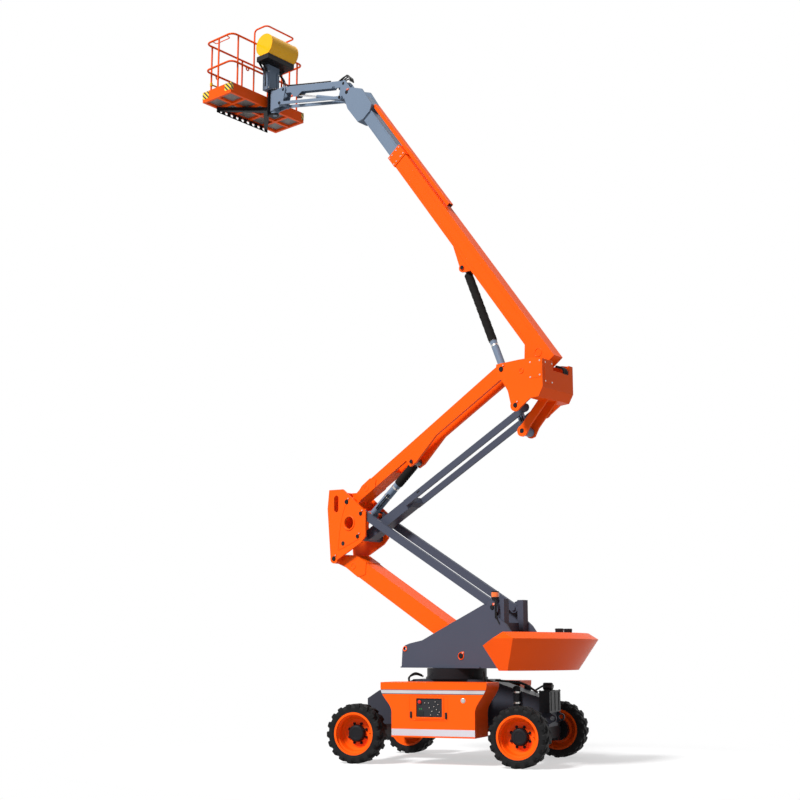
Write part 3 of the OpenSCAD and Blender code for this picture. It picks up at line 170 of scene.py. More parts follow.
class Nodes:
    """A node tree, written as expressions."""

    def __init__(self, tree: bpy.types.NodeTree, output: str) -> None:
        """Empty the tree and give it its output node."""
        self.tree = tree
        self.tree.nodes.clear()
        self.surface = self.tree.nodes.new(output).inputs["Surface"]

    def node(self, kind: str, settings: dict | None = None, inputs: dict | None = None, out: Any = 0) -> Wire:
        """Add any node.

        Args:
            kind: Blender's node type.
            settings: properties, set first.
            inputs: values or wires by socket name or number.
            out: name or number of the wanted result.
        Returns:
            The wanted result.
        """
        made = self.tree.nodes.new(kind)
        for key, value in (settings or {}).items():
            setattr(made, key, value)
        for key, value in (inputs or {}).items():
            self.put(made.inputs[key], value)
        return Wire(self, made.outputs[out])

    def put(self, socket: Any, value: Any) -> None:
        """Link a wire to a socket, or set the socket's own value."""
        if isinstance(value, Wire):
            self.tree.links.new(value.socket, socket)
        else:
            socket.default_value = value


class Shader(Nodes):
    """A material with a principled surface."""

    def __init__(self, name: str) -> None:
        """Make the material."""
        self.material = bpy.data.materials.new(f"{name}_finish")
        self.material.use_nodes = True
        super().__init__(self.material.node_tree, "ShaderNodeOutputMaterial")
        self.body = self.tree.nodes.new("ShaderNodeBsdfPrincipled")
        self.put(self.surface, Wire(self, self.body.outputs[0]))

    def place(self) -> Wire:
        """Object coordinates, which are the row frame for every piece."""
        return self.node("ShaderNodeTexCoord", out="Object")

    def along(self, direction: Any) -> Wire:
        """Distance along a direction from the row frame's origin, in metres."""
        ends = {0: self.place(), 1: tuple(direction)}
        return self.node("ShaderNodeVectorMath", {"operation": "DOT_PRODUCT"}, ends, 1)

    def noise(self, scale: float, detail: float) -> Wire:
        """Noise of a given fineness per metre, about 0.5 on average."""
        return self.node("ShaderNodeTexNoise", {}, {"Vector": self.place(), "Scale": scale, "Detail": detail})

    def blend(self, share: Any, a: Any, b: Any) -> Wire:
        """Colour a where share is 0 and b where it is 1."""
        a, b = (c if isinstance(c, Wire) else (*c, 1.0) for c in (a, b))
        return self.node("ShaderNodeMix", {"data_type": "RGBA"}, {0: share, 6: a, 7: b}, 2)

    def bump(self, height: Wire, distance: float, strength: float) -> Wire:
        """A normal bent by a height field of the given depth in metres."""
        return self.node("ShaderNodeBump", {}, {"Height": height, "Distance": distance, "Strength": strength})

    def finish(self, **sockets: Any) -> bpy.types.Material:
        """Set the principled sockets, whose names have _ for a space, and give the material back."""
        for key, value in sockets.items():
            self.put(self.body.inputs[key.replace("_", " ")], value)
        return self.material


def lighter(color: tuple, factor: float) -> tuple:
    """A colour times a factor, kept below 1."""
    return tuple(min(1.0, c * factor) for c in color)


@dataclass(frozen=True)
class Zone:
    """A space between planes: a low and a high limit of the distance along each direction."""

    limits: tuple

    def mask(self, s: Shader) -> Wire:
        """1 inside the space and 0 outside."""
        walls = [(s.along(way), low, high) for way, low, high in self.limits]
        inside = [(far > low) * (far < high) for far, low, high in walls]
        return math.prod(inside[1:], start=inside[0])


def zone(*limits: tuple) -> Zone:
    """A zone from limits given as direction, low and high."""
    return Zone(tuple((tuple(map(float, way)), low, high) for way, low, high in limits))


@dataclass(frozen=True)
class Paint:
    """Sprayed paint: broad tone changes, faint orange peel, a thin clear coat and second-colour zones."""

    name: str
    color: tuple
    rough: float = 0.42
    coat: float = 0.03
    mottle: float = 0.08
    peel: float = 0.0004
    scuff: float = 0.25
    gloss: float = 0.10
    second: tuple = BLACK_TONE
    zones: tuple = ()

    def make(self) -> bpy.types.Material:
        """Build the material."""
        s = Shader(self.name)
        broad = s.noise(1.3, 4.0)
        scuffs = s.noise(38.0, 6.0).step(0.66, 0.78) * s.noise(2.1, 2.0).step(0.5, 0.7) * self.scuff
        base = s.blend(broad, lighter(self.color, 1.0 - self.mottle), lighter(self.color, 1.0 + self.mottle))
        worn = s.blend(scuffs, base, lighter(self.color, 0.6))
        for space in self.zones:
            worn = s.blend(space.mask(s), worn, self.second)
        rough = self.rough + (broad - 0.5) * 0.12 + scuffs * 0.4
        normal = s.bump(s.noise(420.0, 1.0), self.peel, 0.35)
        return s.finish(Base_Color=worn, Roughness=rough, Coat_Weight=self.coat, Coat_Roughness=0.12,
                        Specular_IOR_Level=self.gloss, Normal=normal)


@dataclass(frozen=True)
class Rubber:
    """Tyre rubber: matt black with a little dust and a fine grain."""

    name: str
    color: tuple = (0.006, 0.006, 0.0065)
    dust: tuple = (0.019, 0.018, 0.017)

    def make(self) -> bpy.types.Material:
        """Build the material."""
        s = Shader(self.name)
        dust = s.noise(9.0, 5.0).step(0.45, 0.8) * 0.4
        base = s.blend(dust, self.color, self.dust)
        normal = s.bump(s.noise(160.0, 3.0), 0.0012, 0.5)
        return s.finish(Base_Color=base, Roughness=0.62 + dust * 0.3, Specular_IOR_Level=0.13, Normal=normal)


@dataclass(frozen=True)
class BareMetal:
    """Ground or plated metal with fine draw marks."""

    name: str
    color: tuple
    rough: float = 0.2
    painted: tuple = (0.05, 0.052, 0.062)
    zones: tuple = ()

    def make(self) -> bpy.types.Material:
        """Build the material; its zones are painted."""
        s = Shader(self.name)
        marks = s.noise(260.0, 2.0)
        base = s.blend(s.noise(14.0, 3.0), lighter(self.color, 0.85), self.color)
        bare: Any = 1.0
        for mask in [space.mask(s) for space in self.zones]:
            base = s.blend(mask, base, self.painted)
            bare = bare * (1 - mask)
        return s.finish(Base_Color=base, Metallic=bare, Roughness=self.rough + (marks - 0.5) * 0.1)


@dataclass(frozen=True)
class Plastic:
    """Moulded plastic or hose cover with a fine stipple."""

    name: str
    color: tuple
    rough: float = 0.5
    grain: float = 500.0

    def make(self) -> bpy.types.Material:
        """Build the material."""
        s = Shader(self.name)
        tone = s.noise(6.0, 3.0)
        base = s.blend(tone, lighter(self.color, 0.8), lighter(self.color, 1.2))
        normal = s.bump(s.noise(self.grain, 1.0), 0.0003, 0.5)
        return s.finish(Base_Color=base, Roughness=self.rough + (tone - 0.5) * 0.15, Specular_IOR_Level=0.22,
                        Normal=normal)


@dataclass(frozen=True)
class Reflective:
    """White marking tape with a lattice of fine lines."""

    name: str
    line: tuple = (0.42, 0.27, 0.29)
    white: tuple = (0.56, 0.54, 0.58)
    lines: float = 26.0

    def make(self) -> bpy.types.Material:
        """Build the material."""
        s = Shader(self.name)
        x = s.along(X_AXIS)
        z = s.along(Z_AXIS)
        one = ((x + z) * self.lines).fraction() - 0.5
        two = ((x - z) * self.lines).fraction() - 0.5
        lattice = (1 - (one.size() * two.size()).step(0.0, 0.03)) * (1 - x.step(-0.35, 0.40) * 0.9)
        base = s.blend(lattice, self.white, self.line)
        return s.finish(Base_Color=base, Roughness=0.3, Coat_Weight=0.4)


@dataclass(frozen=True)
class Silver:
    """The dull silver band with darker edges along the covers' brow."""

    name: str
    z0: float
    z1: float
    dull: tuple = (0.42, 0.40, 0.41)
    bright: tuple = (0.62, 0.61, 0.63)
    dark: tuple = (0.10, 0.09, 0.10)

    def make(self) -> bpy.types.Material:
        """Build the material."""
        s = Shader(self.name)
        z = s.along(Z_AXIS)
        edge = 1 - (z - self.z0).step(0.006, 0.012) * (self.z1 - z).step(0.006, 0.012)
        base = s.blend(edge, s.blend(s.noise(3.0, 3.0), self.dull, self.bright), self.dark)
        return s.finish(Base_Color=base, Roughness=0.35, Metallic=0.4)


@dataclass(frozen=True)
class Hazard:
    """Yellow and black bars that slope across a kick plate."""

    name: str
    pitch: float = 0.085
    black: tuple = (0.012, 0.012, 0.012)
    yellow: tuple = (0.92, 0.62, 0.03)

    def make(self) -> bpy.types.Material:
        """Build the material."""
        s = Shader(self.name)
        lean = s.along(U_AXIS) + s.along(V_AXIS) + s.along(Z_AXIS)
        bars = ((lean / self.pitch).fraction() - 0.5).size().step(0.23, 0.27)
        base = s.blend(bars, self.black, self.yellow)
        return s.finish(Base_Color=base, Roughness=0.4, Coat_Weight=0.2)


@dataclass(frozen=True)
class TreadPlate:
    """Expanded metal of the platform floor: a lattice of holes in grey sheet."""

    name: str
    pitch: float = 0.030
    sheet: tuple = (0.34, 0.32, 0.30)
    hole: tuple = (0.07, 0.065, 0.06)

    def make(self) -> bpy.types.Material:
        """Build the material."""
        s = Shader(self.name)
        u = s.along(U_AXIS)
        v = s.along(V_AXIS)
        a, b = (((way / self.pitch).fraction() - 0.5).size() for way in (u + v, u - v))
        holes = (0.36 - a).step(0.0, 0.06) * (0.36 - b).step(0.0, 0.06)
        base = s.blend(holes, self.sheet, self.hole)
        return s.finish(Base_Color=base, Roughness=0.55, Metallic=0.3, Normal=s.bump(1 - holes, 0.002, 0.6))


@dataclass(frozen=True)
class Webbing:
    """The woven black sleeve over a cylinder's rod."""

    name: str
    dark: tuple = (0.004, 0.004, 0.004)
    light: tuple = (0.018, 0.016, 0.015)

    def make(self) -> bpy.types.Material:
        """Build the material."""
        s = Shader(self.name)
        weave = s.noise(240.0, 2.0)
        base = s.blend(weave, self.dark, self.light)
        normal = s.bump(weave, 0.0015, 0.8)
        return s.finish(Base_Color=base, Roughness=0.85, Specular_IOR_Level=0.1, Normal=normal)


@dataclass(frozen=True)
class Lens:
    """Tinted moulded lens with ribs round it."""

    name: str
    color: tuple
    ribs: float = 90.0

    def make(self) -> bpy.types.Material:
        """Build the material."""
        s = Shader(self.name)
        ribs = ((s.along(U_AXIS) + s.along(V_AXIS)) * self.ribs).fraction()
        base = s.blend(ribs, lighter(self.color, 0.75), self.color)
        return s.finish(Base_Color=base, Roughness=0.12, Coat_Weight=0.6, Normal=s.bump(ribs, 0.001, 0.4))


def plated_rod(name: str, pins: tuple, eye: float) -> tuple:
    """Slot and finish of a plated rod.

    Args:
        name: the finish's name.
        pins: the cylinder's foot and head pin.
        eye: painted length below the head pin.
    Returns:
        The slot and the finish.
    """
    way, head = along_pins(*pins)
    painted = zone((way, head - eye, FAR))
    return "rod_steel", BareMetal(name, (0.78, 0.79, 0.81), 0.12, zones=(painted,))


class Finish(Enum):
    """The finishes by the name of the record's slot they go with."""

    ORANGE = ("orange_paint", Paint("orange_paint", ORANGE_TONE, scuff=0.12))
    CAST = ("cast_orange", Paint("cast_orange", (0.93, 0.094, 0.003), scuff=0.12, zones=(
        zone((Z_AXIS, 1.851, 3.0)),)))
    # Black zone inside the base boom's mouth at the collar: the real black slide pads, and painted shade on
    # the boom's inner faces around them.
    COLLARED = ("orange_paint", Paint("collared_orange", ORANGE_TONE, scuff=0.12, zones=(
        zone((MAIN_X, MAIN_AT[0] - 4.95, MAIN_AT[0] - 4.782), (V_AXIS, -0.1095, 0.1095),
             (MAIN_Z, MAIN_AT[1] + 0.2565, MAIN_AT[1] + 0.5175)),)))
    GREY = ("dark_grey_paint", Paint("dark_grey_paint", (0.059, 0.065, 0.092), 0.42))
    FRAME_GREY = ("dark_grey_paint", Paint("frame_grey_paint", (0.038, 0.040, 0.053), 0.42, zones=(
        zone((X_AXIS, 1.3604, 1.60), (Z_AXIS, 0.7195, 1.20)),
        *(zone((X_AXIS, 0.960, 1.078), (Y_AXIS, low, high), (Z_AXIS, 0.778, 1.20))
          for low, high in ((0.2503, 0.40), (-0.40, -0.2503))))))
    STEEL_BLUE = ("blue_grey_paint", Paint("blue_grey_paint", (0.165, 0.215, 0.290), 0.36))
    BLACK = ("black_paint", Paint("black_paint", BLACK_TONE, 0.42))
    PLASTIC = ("black_plastic", Plastic("black_plastic", (0.010, 0.010, 0.011)))
    YELLOW = ("yellow_paint", Paint("yellow_paint", (0.93, 0.46, 0.004), 0.3, 0.3))
    LIFT_ROD = plated_rod("lift_rod_steel", LIFT_PINS, 0.11)
    RISER_ROD = plated_rod("riser_rod_steel", RISER_PINS, 0.07)
    JIB_ROD = plated_rod("jib_rod_steel", JIB_PINS, 0.04)
    TYRE = ("tyre_rubber", Rubber("tyre_rubber"))
    HOSE = ("black_plastic", Plastic("hose_cover", (0.008, 0.008, 0.008), 0.45))
    BOLT = ("rod_steel", BareMetal("bolt_zinc", (0.62, 0.60, 0.57), 0.32))
    TAPE = ("black_plastic", Reflective("marking_tape"))
    BAND = ("dark_grey_paint", Silver("brow_band", *BROW_Z))
    HAZARD = ("yellow_paint", Hazard("hazard_bars"))
    MESH = ("dark_grey_paint", TreadPlate("floor_mesh"))
    SLEEVE = ("black_plastic", Webbing("rod_sleeve"))
    AMBER = ("orange_paint", Lens("amber_lens", (0.95, 0.16, 0.004)))
    CLEAR = ("rod_steel", Lens("clear_lens", (0.55, 0.58, 0.62), 60.0))
    RED = ("orange_paint", Plastic("red_plastic", (0.62, 0.02, 0.012), 0.35))
    SCREEN = ("black_plastic", Plastic("screen_face", (0.022, 0.022, 0.026), 0.22))
    GREEN = ("black_plastic", Plastic("green_key", (0.03, 0.25, 0.07), 0.4))

    @property
    def slot(self) -> str:
        """The record's slot."""
        return self.value[0]

    def material(self) -> bpy.types.Material:
        """The material, built on first use."""
        made = bpy.data.materials.get(f"{self.value[1].name}_finish")
        return made or self.value[1].make()


# Surfaces

@dataclass
class Shape:
    """Vertices and faces of one or more closed surfaces."""

    verts: np.ndarray
    faces: list


def join(shapes: Any) -> Shape:
    """All shapes of a list together."""
    counts = np.cumsum([0] + [len(s.verts) for s in shapes])
    faces = [[i + int(n) for i in f] for s, n in zip(shapes, counts) for f in s.faces]
    return Shape(np.vstack([s.verts for s in shapes]), faces)


def grid(rows: int, cols: int, loop: bool) -> list:
    """Faces of a tube drawn as rings of points, one ring after another.

    Args:
        rows: number of rings.
        cols: points of a ring.
        loop: whether the last ring joins the first; otherwise a face closes each end.
    Returns:
        The point numbers of each face.
    """
    i = np.arange(rows if loop else rows - 1)[:, None]
    j = np.arange(cols)[None, :]
    i2 = (i + 1) % rows
    j2 = (j + 1) % cols
    corners = [i * cols + j, i * cols + j2, i2 * cols + j2, i2 * cols + j]
    faces = np.stack(corners, -1).reshape(-1, 4).tolist()
    if not loop:
        end = np.arange(cols)
        faces += [end[::-1].tolist(), (end + (rows - 1) * cols).tolist()]
    return faces


def revolve(profile: list, segments: int = 40, ring: bool = False) -> Shape:
    """Points (r, h) of a profile turned about the axis: (r cos t, r sin t, h) for t over a turn.

    Args:
        profile: radius and height pairs, with the heights rising on the outside.
        segments: steps round the axis.
        ring: whether the profile is a closed loop, which needs no end faces.
    Returns:
        The closed surface.
    """
    p = np.asarray(profile, float)
    t = np.linspace(0, 2 * np.pi, segments, endpoint=False)
    verts = np.stack([np.outer(p[:, 0], np.cos(t)), np.outer(p[:, 0], np.sin(t)),
                      np.repeat(p[:, 1:], segments, 1)], -1)
    return Shape(verts.reshape(-1, 3), grid(len(p), segments, ring))


def sweep(path: np.ndarray, radius: float, sides: int) -> Shape:
    """A circle carried square to a path: path + r cos t n + r sin t b, with n and b across its direction.

    Args:
        path: points in order.
        radius: the tube's radius.
        sides: steps round the circle.
    Returns:
        The tube, closed at its ends.
    """
    step = np.gradient(path, axis=0)
    step /= np.linalg.norm(step, axis=1, keepdims=True)
    least = int(np.argmin(np.ptp(path, 0)))
    n = np.cross(step, np.eye(3)[least] + OFF_AXIS)
    n /= np.linalg.norm(n, axis=1, keepdims=True)
    b = np.cross(step, n)
    t = np.linspace(0, 2 * np.pi, sides, endpoint=False)
    rim = np.cos(t)[None, :, None] * n[:, None, :] + np.sin(t)[None, :, None] * b[:, None, :]
    return Shape((path[:, None, :] + radius * rim).reshape(-1, 3), grid(len(path), sides, False))


def spline(points: Any, steps: int) -> np.ndarray:
    """A smooth path through points: cubic weights of each point and its neighbours.

    Args:
        points: the points in order.
        steps: points made for each stretch; 1 leaves the stretches straight.
    Returns:
        The path's points.
    """
    p = np.asarray(points, float)
    p = np.vstack([2 * p[0] - p[1], p, 2 * p[-1] - p[-2]])
    t = np.linspace(0, 1, steps, endpoint=False)[None, :, None]
    a, b, c, d = (p[k:len(p) - 3 + k, None, :] for k in range(4))
    curve = 2 * b + (c - a) * t + (2 * a - 5 * b + 4 * c - d) * t ** 2 + (3 * b - a - 3 * c + d) * t ** 3
    return np.vstack([curve.reshape(-1, 3) / 2, p[-2]])


def prism(outline: np.ndarray, h0: float, h1: float) -> Shape:
    """An outline (x, y), counterclockwise, carried from height h0 to h1 and closed by two flat faces."""
    o = np.asarray(outline, float)
    verts = np.vstack([np.column_stack([o, np.full(len(o), h)]) for h in (h0, h1)])
    return Shape(verts, grid(2, len(o), False))


def slab(x0: float, x1: float, y0: float, y1: float, z0: float, z1: float) -> Shape:
    """A block between two corners."""
    return prism(np.array([[x0, y0], [x1, y0], [x1, y1], [x0, y1]]), z0, z1)


def round_rect(x0: float, x1: float, y0: float, y1: float, r: float, steps: int = 6) -> np.ndarray:
    """A rectangle whose corners are quarter circles: corner centre + r (cos t, sin t)."""
    t = np.linspace(0, np.pi / 2, steps)[None, :] + np.arange(4)[:, None] * np.pi / 2
    cx = np.array([x1 - r, x0 + r, x0 + r, x1 - r])[:, None]
    cy = np.array([y1 - r, y1 - r, y0 + r, y0 + r])[:, None]
    return np.stack([cx + r * np.cos(t), cy + r * np.sin(t)], -1).reshape(-1, 2)


def plate(x0: float, x1: float, y0: float, y1: float, r: float, h0: float, h1: float) -> Shape:
    """A plate with round corners, from height h0 to h1."""
    return prism(round_rect(x0, x1, y0, y1, r), h0, h1)


def pad(x: float, y: float, r: float, h0: float, h1: float) -> Shape:
    """A plate of half sizes x and y about the axis."""
    return plate(-x, x, -y, y, r, h0, h1)


def frame_of(outer: np.ndarray, inner: np.ndarray, h0: float, h1: float) -> Shape:
    """A flat frame between two outlines with as many points each, from height h0 to h1."""
    rings = [(outer, h0), (outer, h1), (inner, h1), (inner, h0)]
    verts = np.vstack([np.column_stack([c, np.full(len(c), h)]) for c, h in rings])
    return Shape(verts, grid(4, len(outer), True))


def border(rect: tuple, grow: tuple, radii: tuple, h0: float, h1: float) -> Shape:
    """A flat frame that follows a rectangle.

    Args:
        rect: the rectangle's limits in x and in y.
        grow: how far its outer and its inner outline stand outside the rectangle.
        radii: corner radii of the outer and inner outline.
        h0: height of its back.
        h1: height of its face.
    Returns:
        The frame.
    """
    x0, x1, y0, y1 = rect
    outer, inner = (round_rect(x0 - d, x1 + d, y0 - d, y1 + d, r) for d, r in zip(grow, radii))
    return frame_of(outer, inner, h0, h1)


def hexagon(r: float, h: float) -> Shape:
    """A bolt head: a six-sided outline r (cos t, sin t) of height h."""
    return prism(circle(r, 0.0, 6)[:, :2], 0.0, h)


def button(r: float, h: float, chamfer: float = 0.25) -> Shape:
    """A round head of radius r and height h with its edge cut back by a share of h."""
    c = h * chamfer
    return revolve([(r, 0.0), (r, h - c), (r - c, h)], 28)


def ring_rib(r: float, w: float, h: float) -> Shape:
    """A raised ring of middle radius r: a rounded rib of width w and height h turned about the axis."""
    arch = [(r + w / 2 * math.cos(a), h * math.sin(a)) for a in np.linspace(0, np.pi, 7)]
    return revolve(arch + [(r - w / 2, -SUNK), (r + w / 2, -SUNK)], 40, ring=True)


def circle(r: float, h: float, count: int, start: float = 0.0) -> np.ndarray:
    """Points round the axis at height h: (r cos t, r sin t, h) for equal steps of t."""
    t = np.arange(count) * 2 * np.pi / count + start
    return np.column_stack([r * np.cos(t), r * np.sin(t), np.full(count, h)])


@dataclass(frozen=True)
class Basis:
    """A place and three square directions in the row frame."""

    origin: tuple
    x: tuple = (1, 0, 0)
    y: tuple = (0, 1, 0)
    z: tuple = (0, 0, 1)

    def points(self, local: Any) -> np.ndarray:
        """Local points in the row frame: origin + a x + b y + c z."""
        return np.asarray(local, float) @ np.array([self.x, self.y, self.z]) + np.array(self.origin)

    def at(self, a: float, b: float, c: float) -> tuple:
        """One local point in the row frame."""
        return tuple(self.points([[a, b, c]])[0])

    def put(self, *shapes: Shape) -> Shape:
        """Shapes drawn in this basis, together, in the row frame."""
        shape = join(shapes)
        return Shape(self.points(shape.verts), shape.faces)

    def top(self, a: float, b: float, c: float) -> "Basis":
        """The same directions at a local point."""
        return Basis(self.at(a, b, c), self.x, self.y, self.z)

    def face(self, a: float, b: float, c: float, side: int) -> "Basis":
        """A basis at a local point whose z looks out along +y (side 1) or -y (side -1)."""
        x = np.array(self.x) * -side
        return Basis(self.at(a, b, c), tuple(x), self.z, tuple(np.array(self.y) * side))

    def end(self, a: float, b: float, c: float, side: int = 1) -> "Basis":
        """A basis at a local point whose z looks out along +x (side 1) or -x (side -1)."""
        x = np.array(self.y) * side
        return Basis(self.at(a, b, c), tuple(x), self.z, tuple(np.array(self.x) * side))

    def stamp(self, shape: Shape, *spots: Any) -> list:
        """Copies of a shape at local points."""
        return [self.top(*spot).put(shape) for spot in spots]

    def flank(self, shape: Shape, out: float, *spots: tuple) -> list:
        """Copies of a shape on both flanks at a distance out, at places along x and z."""
        return [self.face(a, side * out, c, side).put(shape) for a, c in spots for side in SIDES]

    def hose(self, points: Any, radius: float, sides: int = 8, steps: int = 8) -> Shape:
        """A tube through local points, smooth unless steps is 1."""
        return sweep(self.points(spline(points, steps)), radius, sides)


GROUND = Basis((0, 0, 0))
UPPER = Basis((0, 0, 0), tuple(U_AXIS), tuple(V_AXIS), tuple(Z_AXIS))


def member(pin: tuple, degrees: float, leftward: bool) -> Basis:
    """The basis of a boom that rises from a pin, with x along it and z square to it.

    Args:
        pin: the pin's place along the upper works and its height.
        degrees: rise above the level.
        leftward: whether it rises towards the platform's side; it then lies along -x.
    Returns:
        The boom's basis.
    """
    a = math.radians(degrees)
    s = -1 if leftward else 1
    x = math.cos(a) * U_AXIS + s * math.sin(a) * Z_AXIS
    z = -s * math.sin(a) * U_AXIS + math.cos(a) * Z_AXIS
    return Basis(UPPER.at(pin[0], 0, pin[1]), tuple(x), tuple(V_AXIS), tuple(z))


def piece(name: str, shapes: Any, finish: Finish, body: str, bevel: float = 0.0, smooth: float = 35.0,
          replaces: tuple = ()) -> None:
    """Make one mesh object that rides on a body.

    Args:
        name: the piece's name.
        shapes: its surface or a list of surfaces, in the row frame.
        finish: its material.
        body: the body it moves with.
        bevel: width of the rounded edges in metres, or 0.
        smooth: edges sharper than this many degrees stay sharp.
        replaces: nodes that it stands for.
    """
    shape = shapes if isinstance(shapes, Shape) else join(shapes)
    mesh = bpy.data.meshes.new(name)
    mesh.from_pydata(shape.verts.tolist(), [], shape.faces)
    mesh.polygons.foreach_set("use_smooth", np.ones(len(mesh.polygons), bool))
    mesh.set_sharp_from_angle(angle=math.radians(smooth))
    mesh.update()
    mesh.materials.append(finish.material())
    made = bpy.data.objects.new(name, mesh)
    bpy.context.scene.collection.objects.link(made)
    if bevel:
        cut = made.modifiers.new("soft_edges", "BEVEL")
        cut.width = bevel
        cut.segments = 2
        cut.limit_method = "ANGLE"
        cut.angle_limit = BEVEL_ABOVE
        cut.harden_normals = True
    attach(made, body)
    if replaces:
        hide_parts(*replaces)
    log.info("%s on %s: %d faces", name, body, len(mesh.polygons))


# Sub-assemblies

@dataclass
class Wheel:
    """A wheel: its tyre with lugs, hub cover, nuts and valve."""

    name: str
    x: float
    side: int
    body: str
    radius: float = 0.42
    center_y: float = 1.095
    half_width: float = 0.15
    lugs: int = 18
    lug_share: float = 0.52
    lug_lean: float = 0.55
    lug_flank: float = 0.05
    lug_phase: tuple = (-0.06, 0.44)
    overlap: float = 0.02
    lobe_circle: float = 0.112
    nut_circle: float = 0.145
    disc_face: float = -0.039
    # Half the profile as radius and height; a row of the tread also has its lug's radius and height
    bead: tuple = ((0.2865, 0.131), (0.303, 0.1315), (0.3035, 0.140), (0.312, 0.1445), (0.322, 0.1425),
                   (0.328, 0.1465), (0.350, 0.1475))
    tread: tuple = (
        (0.362, 0.1455, 0.362, 0.149), (0.371, 0.1435, 0.374, 0.150), (0.380, 0.1395, 0.392, 0.150),
        (0.388, 0.1330, 0.411, 0.1465), (0.393, 0.124, 0.4185, 0.139), (0.394, 0.105, 0.42, 0.120),
        (0.3945, 0.082, 0.42, 0.088), (0.395, 0.058, 0.42, 0.060), (0.395, 0.036, 0.42, 0.036),
        (0.395, 0.016, 0.42, 0.016))

    def basis(self) -> Basis:
        """The wheel's own directions, z outwards."""
        return Basis((self.x, self.side * self.center_y, self.radius), (1, 0, 0), (0, 0, -self.side),
                     (0, self.side, 0))

    def lug_mask(self, phase: np.ndarray) -> np.ndarray:
        """1 inside the lugs' share of each turn of the phase, with short flanks."""
        away = np.abs((phase % 1.0) - 0.5)
        return np.clip((self.lug_share / 2 - away) / self.lug_flank + 0.5, 0, 1)

    def tyre_surface(self, around: int = 432) -> Shape:
        """The tyre as a grid of angle and profile point: base + lug mask * (lug top - base).

        Args:
            around: steps round the tyre.
        Returns:
            The closed surface.
        """
        half = np.vstack([np.tile(self.bead, 2), self.tread])
        profile = np.vstack([half, half[::-1] * [1, -1, 1, -1]])
        t = np.linspace(0, 2 * np.pi, around, endpoint=False)[:, None]
        y = profile[None, :, 1]
        turn = self.lugs * t / (2 * np.pi) + self.lug_lean * np.abs(y) / self.half_width
        outer = self.lug_mask(turn + self.lug_phase[0]) * (y > -self.overlap)
        inner = self.lug_mask(turn + self.lug_phase[1]) * (y < self.overlap)
        mask = np.maximum(outer, inner)[..., None]
        base = profile[None, :, :2]
        tip = profile[None, :, 2:]
        rh = base + mask * (tip - base)
        verts = np.stack([rh[..., 0] * np.cos(t), rh[..., 0] * np.sin(t), rh[..., 1]], -1)
        return Shape(verts.reshape(-1, 3), [f[::-1] for f in grid(around, len(profile), True)])

    def build(self) -> None:
        """Make the tyre, the hub, the nuts and the valve."""
        b = self.basis()
        piece(f"tread_{self.name}", b.put(self.tyre_surface()), Finish.TYRE, self.body, smooth=28,
              replaces=(f"tyre_{self.name}",))
        hub = revolve([(0.122, -0.040), (0.122, -0.022), (0.1175, -0.018), (0.1175, 0.033), (0.104, 0.0475),
                       (0.098, 0.050), (0.070, 0.050), (0.066, 0.047)], 48)
        lobes = b.stamp(button(0.014, 0.052), *circle(self.lobe_circle, -0.022, 8, np.pi / 8))
        nut = join([button(0.021, 0.006), hexagon(0.017, 0.024), button(0.010, 0.034)])
        nuts = b.stamp(nut, *circle(self.nut_circle, self.disc_face, 8, np.pi / 8))
        piece(f"hub_{self.name}", [b.put(hub)] + lobes, Finish.BLACK, self.body, smooth=30)
        piece(f"nuts_{self.name}", nuts, Finish.BLACK, self.body, smooth=30)
        stem = b.hose([(0.190, 0.0, -0.041), (0.191, 0.0, -0.020), (0.196, 0.0, 0.004)], 0.006, steps=1)
        piece(f"valve_{self.name}", stem, Finish.PLASTIC, self.body)


